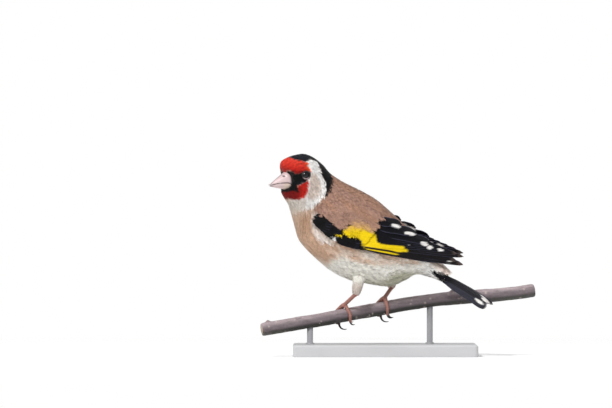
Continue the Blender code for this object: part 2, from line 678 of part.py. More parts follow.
def make_leg(side, leg):
    knee, heel, foot = (Vector(leg[k]) for k in ("knee", "heel", "foot"))
    shade = {"colour": (0.75, 0.68, 0.6), "roughness": 0.85}
    steps = 6
    path = [knee.lerp(heel, k / steps) for k in range(steps + 1)]
    radii = [THIGH_TOP_R + (THIGH_HEEL_R - THIGH_TOP_R) * (k / steps) ** 0.9 for k in range(steps + 1)]
    thigh = tube("thigh_" + side, path, radii, 12, **shade)
    skin = {"colour": (0.55, 0.28, 0.2), "roughness": 0.6}
    down = (foot - heel).normalized()
    end = foot - down * ANKLE_UP
    lengths = [heel.lerp(end, k / 4) for k in range(5)]
    shank_sizes = [SHANK_R * s for s in (1.35, 1.05, 0.95, 0.95, 1.1)]
    tube("shank_" + side, lengths, shank_sizes, 8, **skin)
    round_shank = tube("clearance", [heel - down * GAP, *lengths[1:]], [s + GAP for s in shank_sizes], 8)
    boolean(thigh, [body_clearance(SHOULDER_CUT, len(BODY_SECTIONS) - 1), round_shank], "DIFFERENCE")
    pad = ball("foot_" + side, foot, (FOOT_R * 1.2, FOOT_R, FOOT_R * 0.8), **skin)
    stub = tube("stub", [foot, end + (foot - end).normalized() * GAP], [SHANK_R * 1.05] * 2, 8)
    toes = {}
    for name, turn, drift, _ in TOES[side]:
        size = TOE_ROOT_R
        toes[name] = toe_path(foot.x, math.radians(turn), drift, lambda f: size + (TOE_TIP_R - size) * f)
    pieces = [tube("toe", path, radii, TOE_SIDES) for path, radii in toes.values()]
    boolean(pad, [stub, *pieces], "UNION")
    for name, _, _, length in TOES[side]:
        claw("claw_" + side + "_" + name, toes[name], length)


def main():
    for old in list(bpy.data.objects):
        bpy.data.objects.remove(old)
    make_head()
    make_bill()
    make_body()
    make_wings()
    make_tail()
    make_perch()
    make_stand()
    for side, leg in LEGS.items():
        make_leg(side, leg)


main()
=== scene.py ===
"""The looks of a european goldfinch on its perch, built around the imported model.

Sizes and places are in millimetres, and turn into metres where a mesh is made. The bird faces -X, its left
side is towards -Y, and colours are written as they look on screen, from 0 to 255.
"""

import math

import bpy
import numpy as np
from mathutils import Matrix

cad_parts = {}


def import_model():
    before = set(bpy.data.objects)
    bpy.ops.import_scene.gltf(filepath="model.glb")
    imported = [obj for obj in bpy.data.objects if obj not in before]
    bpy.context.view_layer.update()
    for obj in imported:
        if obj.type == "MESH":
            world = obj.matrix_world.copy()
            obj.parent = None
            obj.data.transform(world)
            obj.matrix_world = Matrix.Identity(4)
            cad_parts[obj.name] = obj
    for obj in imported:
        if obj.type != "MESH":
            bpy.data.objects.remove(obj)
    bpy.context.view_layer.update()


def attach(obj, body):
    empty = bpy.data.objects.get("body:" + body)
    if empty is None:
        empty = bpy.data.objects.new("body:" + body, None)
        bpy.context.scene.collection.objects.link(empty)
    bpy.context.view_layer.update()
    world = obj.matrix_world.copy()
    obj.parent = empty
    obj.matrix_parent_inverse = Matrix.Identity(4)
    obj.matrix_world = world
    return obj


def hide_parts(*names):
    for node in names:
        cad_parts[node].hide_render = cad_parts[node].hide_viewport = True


MM = 0.001

# Body: one row for each cross-section from face to tail root, as the top point (x, z), the bottom point
# (x, z), the half width, how far the sides sweep back, and the share of the head's turn that it takes
BODY_SECTIONS = (
    (-52.9, 93.2, -52.1, 82.9, 4.7, 2.6, 1.0),
    (-53.6, 95.2, -52.8, 81.3, 6.3, 2.9, 1.0),
    (-52.8, 97.7, -51.7, 79.4, 7.9, 3.1, 1.0),
    (-49.4, 99.6, -50.1, 77.2, 8.9, 2.8, 1.0),
    (-45.0, 100.8, -48.4, 74.8, 9.4, 2.0, 1.0),
    (-40.6, 101.2, -47.2, 71.7, 9.9, 1.0, 1.0),
    (-35.7, 99.4, -46.0, 67.8, 10.1, 0.0, 0.9),
    (-31.2, 96.0, -44.8, 63.3, 10.8, 0.0, 0.65),
    (-27.4, 91.6, -43.4, 58.6, 12.4, 0.0, 0.35),
    (-22.0, 87.8, -40.6, 54.6, 14.6, 0.0, 0.1),
    (-16.5, 85.0, -35.0, 49.0, 16.5, 0.0, 0.0),
    (-10.5, 82.0, -27.5, 42.8, 17.5, 0.0, 0.0),
    (-4.5, 78.5, -18.5, 38.2, 18.0, 0.0, 0.0),
    (1.5, 73.5, -8.5, 36.0, 17.3, 0.0, 0.0),
    (6.5, 68.9, 2.0, 34.7, 15.3, 0.0, 0.0),
    (13.0, 62.5, 9.5, 37.4, 12.0, 0.0, 0.0),
    (20.5, 54.5, 15.5, 40.6, 9.0, 0.0, 0.0),
    (27.5, 47.8, 22.0, 39.4, 6.8, 0.0, 0.0),
    (33.0, 42.5, 28.5, 37.0, 5.4, 0.0, 0.0),
)
LAST_SECTION = len(BODY_SECTIONS) - 1
PAST_THE_END = (5.0, -2.9, 5.6, -3.0, -0.9, 0.0, 0.0)
# Where along the body's sections the zones of feathers end
FACE_END = 4.6
HEAD_END = 6.6
NAPE_END = 8.4
BREAST_END = 11.4
# How deep feathers are rooted and the skin lies, with more for each millimetre of a feather's length
ROOT_DEPTH = 0.30
SKIN_DEPTH = 0.40
DEPTH_BY_LENGTH = 0.10
THIGH_SKIN_DEPTH = 0.35
SKIN_SHADE = 0.8
SKIN_STEPS = (250, 150)
# Shares of the bake map for the body and a thigh, and the axes and widths on which the skin's map closes
MAP_OF_BODY = 0.8
MAP_OF_THIGH = 0.15
MAP_ROUNDS = {"skin": ((1, MAP_OF_BODY), (0, MAP_OF_THIGH))}
SIDES = ((-1, "left"), (1, "right"))

# Body feathers: where they end, how many lie over each other on the head and the body, a feather's area as a
# share of its length squared, how many are worked out at once, and each group's random draws
LAST_FEATHERS = 17.5
HEAD_LAYERS = 5.6
BODY_LAYERS = 8.4
FEATHER_AREA = 0.45
THIGH_DENSITY = 5.0
WING_BEND_DENSITY = 3.0
AT_ONCE = 2500
DRAWS = {"body": 20, "thigh": 31, "wing": 44, "bend": 52, "tail": 61, "bark": 71}
# A feather's patch in the bake map: its length, half its width, the share of the map that roots span, and
# how far they start from the edge
PATCH_LONG = 0.003
PATCH_HALF = 0.0015
MAP_SPAN = 0.99
MAP_EDGE = 0.002

# Head: it turns about a vertical line at HEAD_X, and places on it are (ahead of that line, to a side, z)
HEAD_X = -38.5
HEAD_TURN = math.radians(27.0)
EYE_AHEAD = 5.4
EYE_OUT = 7.2
EYE_Z = 90.35
EYE_R = 2.35
LID_R = 2.0
LID_THICK = 0.4
LID_AHEAD = EYE_AHEAD + 0.25
LID_OUT = 9.05
EYE_FORWARD_TILT = math.radians(12.0)
EYE_CLEAR = 2.25
# The eye's colours from its middle out, each with where it starts, as light
IRIS_BANDS = ((0.50, (0.002, 0.002, 0.003)), (0.56, (0.022, 0.012, 0.008)), (0.86, (0.016, 0.009, 0.007)),
              (0.95, (0.003, 0.003, 0.004)))

# Bill, in the head's own places
BILL_ROOT = 9.4
BILL_TIP = 22.0
BILL_BASE = 13.5
CULMEN_BASE_Z = 91.8
BILL_TIP_Z = 85.2
MOUTH_MID_Z = 86.5
GAPE_AHEAD = 10.4
GAPE_Z = 85.1
CHIN_Z = 83.4
BILL_HALF_WIDTH = 3.8
MOUTH_GAP = 0.3
LOWER_BILL_SHARE = 0.94
LOWER_BILL_SHORTER = 0.9
NOSTRIL_AHEAD = 14.6
NOSTRIL_UP = 3.4
NOSTRIL_R = 0.5
NOSTRIL_DEPTH = 0.35

# Markings of the head in its side view, as outlines of (ahead, z)
CROWN_BLACK = ((10.9, 99.4), (10.2, 98.4), (8.7, 98.2), (7.0, 97.7), (4.5, 97.2), (2.7, 98.3), (1.0, 98.7),
               (-2.6, 97.4), (-3.5, 95.8), (-4.5, 92.3), (-5.0, 89.7), (-7.6, 85.8), (-7.4, 82.8),
               (-6.3, 80.4), (-7.2, 80.0), (-9.1, 81.3), (-10.6, 83.8), (-11.5, 87.2), (-11.4, 88.8),
               (-11.0, 91.5), (-9.0, 96.0), (-4.0, 103.0), (8.0, 104.0))
RED_FOREHEAD = ((10.9, 99.4), (10.2, 98.4), (8.7, 98.2), (7.0, 97.7), (4.5, 97.1), (3.7, 96.6), (4.3, 94.9),
                (3.3, 93.5), (3.1, 92.1), (5.5, 92.5), (7.0, 92.0), (8.9, 91.4), (10.9, 90.7), (12.2, 91.9),
                (13.2, 92.6), (17.0, 92.0), (17.0, 99.0), (12.0, 101.5))
RED_CHEEK = ((10.4, 84.2), (9.6, 85.4), (7.8, 86.2), (6.5, 86.7), (5.1, 87.7), (4.5, 86.0), (5.2, 84.2),
             (5.1, 82.9), (5.6, 81.0), (6.5, 79.0), (8.6, 78.3), (10.9, 78.1), (11.9, 78.5), (18.0, 78.0),
             (18.0, 82.0), (13.5, 83.6))
LORES_BLACK = ((13.6, 92.4), (12.2, 92.0), (10.9, 90.8), (8.9, 91.5), (7.0, 92.1), (5.5, 92.6), (3.3, 92.2),
               (3.6, 90.6), (4.4, 89.2), (5.1, 87.8), (6.5, 86.8), (7.8, 86.3), (9.6, 85.5), (10.6, 84.0),
               (14.0, 84.0))
CHIN_BLACK = ((18.0, 84.5), (10.2, 84.6), (8.7, 81.4), (10.8, 82.5), (12.5, 82.3), (18.0, 81.8))
CHEEK_BEIGE = ((2.6, 91.5), (-0.6, 91.0), (-3.6, 86.0), (-3.9, 82.0), (-1.0, 78.8), (3.2, 78.0), (5.0, 80.0),
               (4.4, 84.0), (4.2, 88.0))
THROAT_PALE = ((12.0, 78.6), (8.6, 78.2), (6.0, 79.0), (4.5, 75.5), (6.6, 72.5), (9.0, 71.0), (13.0, 73.0))
WHITE_HEAD = ((6.0, 97.9), (3.0, 99.0), (-3.0, 98.0), (-4.6, 92.3), (-5.1, 89.7), (-8.0, 85.6), (-7.6, 82.8),
              (-6.7, 80.0), (-4.2, 78.0), (-1.9, 76.1), (0.4, 74.3), (3.9, 73.1), (6.8, 72.8), (9.6, 74.5),
              (11.8, 78.0), (8.0, 90.0))

# Markings of the body in its side view, as outlines of (x, z)
MANTLE = ((-31.3, 80.0), (-34.2, 78.0), (-36.5, 76.1), (-38.6, 74.0), (-37.8, 71.0), (-35.6, 69.5),
          (-26.0, 60.0), (-6.0, 56.0), (12.0, 56.0), (20.0, 52.5), (26.0, 60.0), (0.0, 110.0), (-31.0, 100.0),
          (-29.0, 91.5), (-28.5, 88.8), (-28.8, 84.0), (-30.3, 81.3))
BREAST_BUFF = ((-47.0, 70.0), (-40.0, 72.5), (-34.0, 66.0), (-31.0, 58.0), (-24.0, 50.5), (-30.0, 45.0),
               (-38.0, 51.0), (-44.0, 58.0))
FLANK_BUFF = ((-34.0, 60.0), (-20.0, 56.0), (0.0, 52.0), (18.0, 48.5), (14.0, 46.0), (-2.0, 46.5),
              (-14.0, 47.5), (-28.0, 50.0))
# Where painted shade, tinted by a painted green reflection, lies under the belly near the legs
GREEN_SHADE_OUTLINE = ((-20.0, 39.5), (-4.0, 38.5), (4.0, 42.0), (11.0, 43.5), (15.0, 41.0), (14.0, 37.0), (6.0, 32.0),
             (-20.0, 32.0))
TAIL_WEDGE = ((20.5, 43.3), (25.0, 42.1), (31.0, 41.2), (36.0, 41.5), (36.0, 34.0), (27.0, 37.6))
SHOULDER_WHITE = ((-38.6, 71.5), (-35.8, 71.0), (-34.6, 66.5), (-32.2, 61.5), (-27.5, 57.5), (-27.5, 55.6),
                  (-33.5, 57.8), (-37.4, 63.0), (-38.9, 68.0))
YELLOW_GLOW = ((-20.5, 62.0), (-19.6, 66.0), (-15.0, 68.5), (-9.0, 67.0), (-5.0, 63.5), (-8.0, 60.0))

# Folded wings: lower edge, ridge and half width of their outer face and the upper edge of their core, each
# as (x, value), and the part that the body's feathers leave free, as an outline of (x, z)
WING_LOW = ((-36, 66.3), (-30, 60.6), (-22, 56.6), (-12, 52.9), (0, 51.6), (10, 50.0), (20, 47.9), (30, 45.9),
            (39, 44.8))
WING_RIDGE = ((-36, 98.0), (-22, 90.0), (-12, 85.0), (0, 77.5), (10, 70.0), (20, 62.3), (30, 57.6),
              (39, 54.5))
WING_WIDTH = ((-36, 14.4), (-30, 17.0), (-22, 18.9), (-12, 19.7), (0, 18.6), (10, 15.0), (20, 10.0),
              (30, 6.2), (39, 3.8))
WING_TOP = ((-36, 68.5), (-30, 71.0), (-22, 72.0), (-12, 71.5), (0, 70.0), (10, 63.5), (16, 57.5), (39, 48.6))
WING_ROUNDNESS = 2.4
WING_FACE_END = 0.985
WING_FRONT = -36.0
WING_CORE_END = 16.0
WING_DEPTH = 3.0
WING_COVERS = 3.5
FAR_WING_LIFT = ((-36, 1.8), (0, 1.8), (10, 3.6), (39, 3.6))
WING_SHOWS = ((-36.4, 71.8), (-33.0, 71.2), (-28.3, 68.7), (-23.8, 65.0), (-21.6, 63.6), (-19.6, 63.9),
              (-15.6, 65.2), (-10.7, 64.8), (-6.4, 62.8), (-4.8, 62.0), (-2.1, 64.1), (-1.0, 66.8),
              (1.2, 67.8), (3.5, 70.0), (12.0, 66.0), (45.0, 50.0), (45.0, 40.0), (0.0, 46.0), (-24.0, 52.0),
              (-36.0, 61.0), (-38.0, 66.0))

# Wing markings in the side view, as outlines of (x, z)
YELLOW_PATCH = ((-21.6, 62.2), (-19.6, 64.2), (-15.6, 65.8), (-10.7, 65.2), (-6.4, 62.9), (-5.3, 61.4),
                (-4.2, 56.8), (-11.8, 57.6), (-14.0, 59.2), (-18.3, 59.5), (-21.3, 61.1))
YELLOW_BAR = ((-11.8, 57.9), (-4.8, 57.3), (-2.1, 56.1), (8.8, 55.0), (11.5, 52.2), (6.6, 51.9), (2.3, 53.0),
              (-6.4, 54.3), (-11.2, 55.1))
YELLOW_LINE = ((-10.7, 54.1), (1.2, 52.2), (7.7, 50.8), (5.0, 50.6), (-2.1, 52.0), (-9.6, 53.4))
YELLOW_STREAK = ((-25.3, 61.0), (-21.6, 60.2), (-21.8, 59.4), (-24.2, 59.8))
WHITE_FLECK = ((-26.7, 59.3), (-24.3, 59.3), (-24.8, 58.1), (-26.0, 58.2))

# Feather rows of a wing: count, root and tip of the lowest and of the highest feather as (x, z), width, and
# how far they stand out. The rows are primary coverts, alula, greater, median, lesser and marginal coverts
COVERT_ROWS = (
    (7, (-24.0, 57.2), (-22.0, 61.0), (-13.0, 53.9), (-11.4, 57.6), 2.5, 0.45),
    (3, (-29.0, 60.4), (-28.0, 63.0), (-19.4, 56.6), (-18.2, 58.9), 2.2, 0.75),
    (10, (-20.0, 59.2), (-14.0, 69.0), (-8.6, 56.9), (-1.6, 66.0), 3.3, 0.65),
    (8, (-26.0, 61.6), (-21.0, 69.6), (-17.4, 59.6), (-12.6, 68.0), 3.1, 0.95),
    (8, (-31.0, 63.4), (-26.0, 70.2), (-22.6, 60.8), (-18.0, 69.0), 3.0, 1.15),
    (7, (-34.6, 65.6), (-31.0, 70.4), (-27.4, 62.4), (-23.6, 69.4), 2.8, 1.25),
)
SECONDARY_ROW = (6, (-12.6, 56.0), (-5.6, 63.6), (22.8, 54.4), (15.4, 58.6), 4.0, 0.25)
PRIMARY_ROOTS = ((-10.0, 53.6), (7.0, 57.4))
PRIMARY_TIPS = ((28.4, 46.9), (38.8, 45.6), (35.2, 47.4), (39.2, 49.6), (35.8, 51.0), (32.0, 52.4),
                (28.8, 53.7), (25.4, 55.0), (22.6, 56.0))
PRIMARY_WIDTH = 3.5
# Feather forms of a wing: the pointed end's share of the length, and how far the shaft lies from the middle
PRIMARY_FORM = (0.30, 0.3)
SECONDARY_FORM = (0.22, 0.2)
TERTIAL_FORM = (0.25, 0.1)
COVERT_FORM = (0.45, 0.05)
BROWN_PRIMARIES = 5
LONG_FEATHER = 14.0
# White spots of the wing in its side view: middle (x, z), half length, half height and the slope
WHITE_SPOTS = ((5.4, 65.0, 2.5, 0.85, -0.25), (12.3, 61.3, 2.9, 0.85, -0.18), (19.4, 56.2, 2.0, 1.05, -0.25),
               (22.3, 54.3, 1.25, 1.0, 0.0), (27.4, 53.1, 1.3, 0.8, -0.2), (11.7, 55.5, 0.35, 0.25, 0.0),
               (32.4, 46.9, 0.8, 1.0, 0.6))
FAR_WHITE_SPOT = (10.0, 62.9, 1.5, 0.8, -0.2)
TAIL_WHITE_SPOTS = ((47.0, 27.3, 2.0, 0.95, -0.65), (50.2, 27.9, 2.0, 0.85, -0.6))
FAR_TAIL_SPOT = ((21.0, 4.3, 2.1, 1.0, 0.0),)
TERTIALS = (((-4.0, 62.6), (22.4, 56.9), 5.4, 0.55), ((-5.0, 65.2), (15.6, 60.8), 5.6, 0.85),
            ((-4.0, 67.4), (8.2, 64.9), 5.4, 1.15))
VANE_TILT = math.radians(7.0)
VANE_THICK = 0.14
VANE_COLUMNS = (-1.0, -0.8, -0.55, -0.3, -0.06, 0.0, 0.06, 0.3, 0.55, 0.8, 1.0)
BARB_STEP = 0.42

# Tail
TAIL_ROOT = (30.2, 0.0, 39.0)
TAIL_DROP = math.radians(29.5)
TAIL_SWING = math.radians(-7.0)
TAIL_ROLL = math.radians(25.0)
TAIL_LENGTH = 26.8
TAIL_FORK = 2.2
TAIL_PAIRS = 6
TAIL_FEATHER_WIDTH = 4.2
# From the tail's middle: half the gap, and the step from pair to pair at the root and at the tip
TAIL_SPREAD = (0.7, 0.32, 0.78)
TAIL_STEP = 0.24
TAIL_LEAN = math.radians(4.0)
TAIL_TIP = 0.16
TAIL_SHAFT = 0.25

# Legs: knee, heel and foot of each, and for each toe the angle it goes round the perch, how far it drifts and
# its claw's length
LEGS = {
    "left": {"knee": (-12.0, -9.0, 44.0), "heel": (-14.6, -10.2, 31.2), "foot": (-20.6, -3.2, 25.4)},
    "right": {"knee": (2.0, 9.0, 42.0), "heel": (3.6, 9.6, 34.4), "foot": (-0.4, 1.6, 28.85)},
}
THIGH_TOP_R = 4.6
THIGH_HEEL_R = 1.5
THIGH_SINK = 3.2
SHANK_R = 0.95
TOE_ROOT_R = 0.95
TOE_TIP_R = 0.62
CLAW_TIP_R = 0.1
FOOT_R = 1.35
SHANK_PLATES = 11
TOE_PLATES = 13
PLATE_STEP = 0.09
LEG_GAP = 0.3
TOES = {
    "left": (("hind", -150.0, 3.2, 3.0), ("inner", 112.0, -4.6, 3.4), ("middle", 160.0, -2.4, 5.4),
             ("outer", 118.0, 2.4, 3.2)),
    "right": (("hind", -148.0, 1.6, 3.2), ("inner", 110.0, -4.4, 3.4), ("middle", 160.0, -1.7, 5.4),
              ("outer", 140.0, 2.0, 3.6)),
}

# Perch: its middle line as (x, z), its radius, and how it recedes towards +X
PERCH_LINE = ((-61.5, 13.4), (-47.5, 15.7), (-32.5, 18.2), (-16.5, 21.0), (-7.5, 22.7), (4.5, 24.8),
              (16.5, 26.8), (28.5, 28.3), (42.0, 29.4), (57.5, 30.4), (67.5, 31.5), (75.0, 32.6))
PERCH_R = 3.4
PERCH_RECEDE = 0.2
PERCH_CROSSES_Y_AT = -10.0
PORE_COUNT = 110
# A bud and a scar on the bark: x, size and height of each
BARK_KNOBS = ((-58.0, 1.1, 1.0), (34.0, 1.0, 0.9))

# Stand
BASE_SIZE = (92.0, 60.0, 6.0)
BASE_EDGE = 1.2
BASE_CORNER = 2.0
ROD_R = 1.5
ROD_FOOT_SHARES = (1.5, 1.5, 1.35, 1.0, 1.0)
ROD_XS = {"stand_rod_front": -37.5, "stand_rod_rear": 22.5}

# Camera and the place (x, z) in the model that the picture's middle looks at, in metres
CAMERA_AWAY = 3.4
CAMERA_LENS = 400.0
CAMERA_SENSOR = 36.0
PICTURE_MIDDLE = (-0.0395, 0.076)

# The room's strength, and each light's name, place, target and size in metres, and power
ROOM_LIGHT = 0.6
LIGHTS = (("key", (-0.45, -0.75, 0.95), (0, 0, 0.06), 0.3, 10.0),
          ("top", (0.1, 0.1, 1.1), (0, 0, 0.06), 0.8, 2.5))

# Half the floor's width, and the distances from the middle, in metres, over which it fades
FLOOR_HALF = 3000
FLOOR_FADE = (0.12, 0.5)

# Colours
RED = (205, 38, 28)
# Brighter red: partly paler feather tips, partly painted light on the upper forehead
RED_BRIGHT = (226, 66, 48)
# Dark red: the forehead's lower edge, and painted shade on the red under the bill
RED_DARK = (96, 6, 8)
RED_ORANGE = (232, 92, 36)
BLACK = (9, 9, 12)
# A painted blue sheen on the top of the black crown
CROWN_SHEEN_BLUE = (17, 20, 33)
WHITE = (246, 243, 240)
BEIGE = (222, 204, 191)
THROAT = (216, 206, 194)
MANTLE_BROWN = (164, 128, 112)
MANTLE_WARM = (172, 130, 104)
BUFF = (214, 182, 158)
BUFF_DEEP = (194, 156, 128)
BELLY = (240, 237, 228)
# Painted shade with a painted green reflection, for the underside near the legs and vent
GREEN_SHADE = (170, 170, 140)
UNDERTAIL = (246, 243, 238)
RUMP_BUFF = (222, 200, 186)
THIGH_PALE = (214, 200, 190)
YELLOW = (246, 212, 14)
YELLOW_BUFF = (226, 178, 96)
FEATHER_BLACK = (10, 10, 17)
# Paler blue-grey edges of the wing feathers, partly painted sheen
FEATHER_EDGE_SHEEN = (84, 84, 108)
FEATHER_BROWN = (20, 17, 19)
# Blue-grey edges of the tail feathers, partly painted sheen
TAIL_EDGE_SHEEN = (92, 94, 110)
TAIL_BLACK = (28, 26, 34)
TIP_BROWN = (112, 96, 88)
SKIN_PINK = (160, 110, 98)
SKIN_DARK = (98, 58, 48)
RUMP_BROWN = (206, 176, 156)
SHOULDER_PALE = (228, 221, 216)
BILL_PINK = (214, 190, 190)
BILL_WARM = (214, 196, 164)
BILL_RIDGE = (150, 130, 134)
BILL_TIP_GREY = (128, 108, 110)
BILL_EDGE = (150, 122, 124)
NOSTRIL_DARK = (70, 50, 48)
GAPE_DARK = (30, 24, 26)
MOUTH_INSIDE = (60, 40, 40)
LID_DARK = (20, 17, 18)
LID_PALE = (176, 152, 152)
CLAW_ROOT = (74, 54, 48)
CLAW_END = (20, 17, 17)
BARK = (112, 100, 104)
# The branch's top and underside: painted light on the upper side and painted shade underneath
BARK_TOP_LIGHT = (166, 150, 154)
BARK_UNDER_SHADE = (36, 34, 32)
BARK_GREEN = (74, 82, 62)
BARK_PATCH = (92, 80, 84)
BARK_PORE = (206, 190, 182)
BARK_KNOB = (96, 74, 66)
SAWN = (196, 172, 140)
STAND_GREY = (196, 196, 198)
ROD_GREY = (168, 168, 172)
FLOOR_WHITES = ((250, 250, 250), (252, 252, 252))


def screen(colour):
    """A colour from 0 to 255 as it looks on screen, as the values that light uses."""
    c = np.asarray(colour, float) / 255.0
    return np.where(c <= 0.04045, c / 12.92, ((c + 0.055) / 1.055) ** 2.4)


def smooth_rows(rows, t):
    """Rows at the positions t along a list of rows, by a smooth curve through them."""
    rows = np.asarray(rows, float)
    ends = np.vstack([2 * rows[0] - rows[1], rows, 2 * rows[-1] - rows[-2]])
    i = np.clip(np.asarray(t, float).astype(int), 0, len(rows) - 2)
    f = (np.asarray(t, float) - i)[..., None]
    p0, p1, p2, p3 = (ends[i + k] for k in range(4))
    return 0.5 * (2 * p1 + (p2 - p0) * f + (2 * p0 - 5 * p1 + 4 * p2 - p3) * f ** 2
                  + (3 * p1 - p0 - 3 * p2 + p3) * f ** 3)


def smooth_values(pairs, x):
    """Values at x on a smooth curve through (x, value) pairs."""
    xs = np.array([p[0] for p in pairs], float)
    x = np.clip(x, xs[0], xs[-1])
    i = np.clip(np.searchsorted(xs, x, side="right") - 1, 0, len(xs) - 2)
    t = i + (x - xs[i]) / (xs[i + 1] - xs[i])
    return smooth_rows([(p[1],) for p in pairs], t)[..., 0]


def unit(v):
    """Vectors at length one."""
    return v / np.maximum(np.linalg.norm(v, axis=-1, keepdims=True), 1e-12)


def ramp(x, low, high):
    """0 below low, 1 above high, smooth between."""
    f = np.clip((x - low) / (high - low), 0.0, 1.0)
    return f * f * (3 - 2 * f)


def wave_noise(x, y, seed):
    """Smooth noise from 0 to 1 over a plane, one bump to a unit."""
    table = np.random.default_rng(seed).random((64, 64))
    xi, yi = np.floor(x).astype(int), np.floor(y).astype(int)
    fx, fy = x - xi, y - yi
    fx, fy = fx * fx * (3 - 2 * fx), fy * fy * (3 - 2 * fy)
    a, b = table[xi % 64, yi % 64], table[(xi + 1) % 64, yi % 64]
    c, d = table[xi % 64, (yi + 1) % 64], table[(xi + 1) % 64, (yi + 1) % 64]
    return (a * (1 - fx) + b * fx) * (1 - fy) + (c * (1 - fx) + d * fx) * fy


def depth_inside(outline, x, z):
    """How far inside an outline each place lies, and below nought outside."""
    inside = np.zeros(np.shape(x), bool)
    nearest = np.full(np.shape(x), 1e9)
    count = len(outline)
    for k in range(count):
        (ax, az), (bx, bz) = outline[k], outline[(k + 1) % count]
        crosses = (az > z) != (bz > z)
        inside ^= crosses & (x < (bx - ax) * (z - az) / ((bz - az) or 1e-9) + ax)
        f = np.clip(((x - ax) * (bx - ax) + (z - az) * (bz - az)) / ((bx - ax) ** 2 + (bz - az) ** 2), 0, 1)
        nearest = np.minimum(nearest, np.hypot(x - ax - f * (bx - ax), z - az - f * (bz - az)))
    return np.where(inside, nearest, -nearest)


def zones_at(x, z):
    """A function for outlines that gives a share at each place, from 0 to 1 between two depths inside."""
    def zone(outline, low, high):
        return ramp(depth_inside(outline, x, z), low, high)
    return zone


def painted(colours, *layers):
    """Colours with others laid over them, each layer a colour and its share from 0 to 1."""
    for colour, share in layers:
        share = np.clip(share, 0, 1)[..., None]
        colours = colours * (1 - share) + screen(colour) * share
    return colours


def turn_head(p, share):
    """Points of the straight body turned about the head's upright line by shares of the head's turn."""
    cos, sin = np.cos(HEAD_TURN * share), np.sin(HEAD_TURN * share)
    x, y = p[..., 0] - HEAD_X, p[..., 1]
    return np.stack([x * cos - y * sin + HEAD_X, x * sin + y * cos, p[..., 2]], -1)


def on_head(ahead, side, z):
    """Places on the turned head, from the distance ahead, to a side, and the height."""
    ahead, side, z = np.broadcast_arrays(np.asarray(ahead, float), side, z)
    return turn_head(np.stack([HEAD_X - ahead, side, z], -1), 1.0)


def eye_line(side, ahead, out):
    """A place at a distance out on one side of the head, and the way that the eye there looks."""
    centre = on_head(ahead, side * out, EYE_Z)
    further = on_head(ahead + math.sin(EYE_FORWARD_TILT), side * (out + math.cos(EYE_FORWARD_TILT)), EYE_Z)
    return centre, unit(further - centre)


def straight_body(t, phi):
    """Points of the body as it would be with the head straight, and each one's share of the turn."""
    row = smooth_rows(BODY_SECTIONS, np.clip(t, 0.0, LAST_SECTION))
    row = row + np.maximum(t - LAST_SECTION, 0.0)[..., None] * np.array(PAST_THE_END)
    top_x, top_z, low_x, low_z, width, sweep, share = (row[..., k] for k in range(7))
    tall_x, tall_z = (top_x - low_x) / 2, (top_z - low_z) / 2
    length = np.hypot(tall_x, tall_z)
    cos, sin = np.cos(phi), np.sin(phi)
    x = (top_x + low_x) / 2 + tall_x * cos + tall_z / length * sweep * sin ** 2
    z = (top_z + low_z) / 2 + tall_z * cos - tall_x / length * sweep * sin ** 2
    return np.stack([x, width * sin, z], -1), share


def body_surface(t, phi):
    """Points of the body: t counts its sections from the face on, phi goes round from the top."""
    return turn_head(*straight_body(t, phi))


def slopes(surface, p, q, step=0.02):
    """How a surface's points move with each of its two numbers."""
    along = (surface(p + step, q) - surface(p - step, q)) / (2 * step)
    return along, (surface(p, q + step) - surface(p, q - step)) / (2 * step)


def body_marks(t, phi, jitter):
    """The plumage colour at places of the body, each moved a little by jitter, so that edges are ragged."""
    p, _ = straight_body(t, phi)
    x, z = p[..., 0] + jitter[..., 0], p[..., 2] + jitter[..., 1]
    under = (1 - np.cos(phi)) / 2
    arc = np.abs(np.sin(phi / 2)) * 30
    streak = wave_noise(t * 0.55, arc * 0.5, 3)
    fine = wave_noise(t * 1.5 + 7, arc * 1.3, 4)
    zone = zones_at(x, z)
    flank, mantle = zone(FLANK_BUFF, -1.8, 1.4), zone(MANTLE, -0.5, 0.7)
    colours = painted(
        screen(BELLY),
        (BUFF, ramp(-x, 22.0, 36.0) * ramp(z, 44.0, 52.0) * 0.9),
        (BUFF_DEEP, zone(BREAST_BUFF, -1.5, 3.0) * (0.7 + 0.3 * streak)),
        (BUFF, flank * (0.35 + 0.65 * ramp(streak * 0.6 + fine * 0.4, 0.3, 0.7))),
        (BUFF_DEEP, 0.65 * flank * ramp(fine, 0.4, 0.75)),
        # Painted shade with a green reflection near the legs, then more painted shade under the breast and
        # belly
        (GREEN_SHADE, 0.75 * zone(GREEN_SHADE_OUTLINE, -1.0, 3.0) * (0.55 + 0.6 * streak)),
        (GREEN_SHADE, 0.25 * ramp(under, 0.8, 1.0) * ramp(x, -26.0, -8.0)),
        (UNDERTAIL, ramp(x, 15.0, 22.0)),
        (RUMP_BUFF, ramp(x, 17.0, 24.0) * ramp(0.62 - under, 0.0, 0.3) * (0.5 + 0.5 * streak)),
        (FEATHER_BLACK, zone(TAIL_WEDGE, -0.2, 0.4) * (np.sin(phi) < 0)),
        (MANTLE_BROWN, mantle * (0.25 + 0.75 * ramp(27.0 - x, 0.0, 11.0))),
        (MANTLE_WARM, mantle * ramp(streak, 0.45, 0.8) * 0.6),
        (RUMP_BROWN, mantle * ramp(x, 8.0, 17.0) * 0.9),
        (YELLOW_BUFF, 0.75 * zone(YELLOW_GLOW, -0.5, 2.2) * (0.4 + 0.6 * fine)),
        (SHOULDER_PALE, zone(SHOULDER_WHITE, -1.2, 0.8) * (0.5 + 0.4 * fine)))
    return head_marks(colours, HEAD_X - x, z, fine)


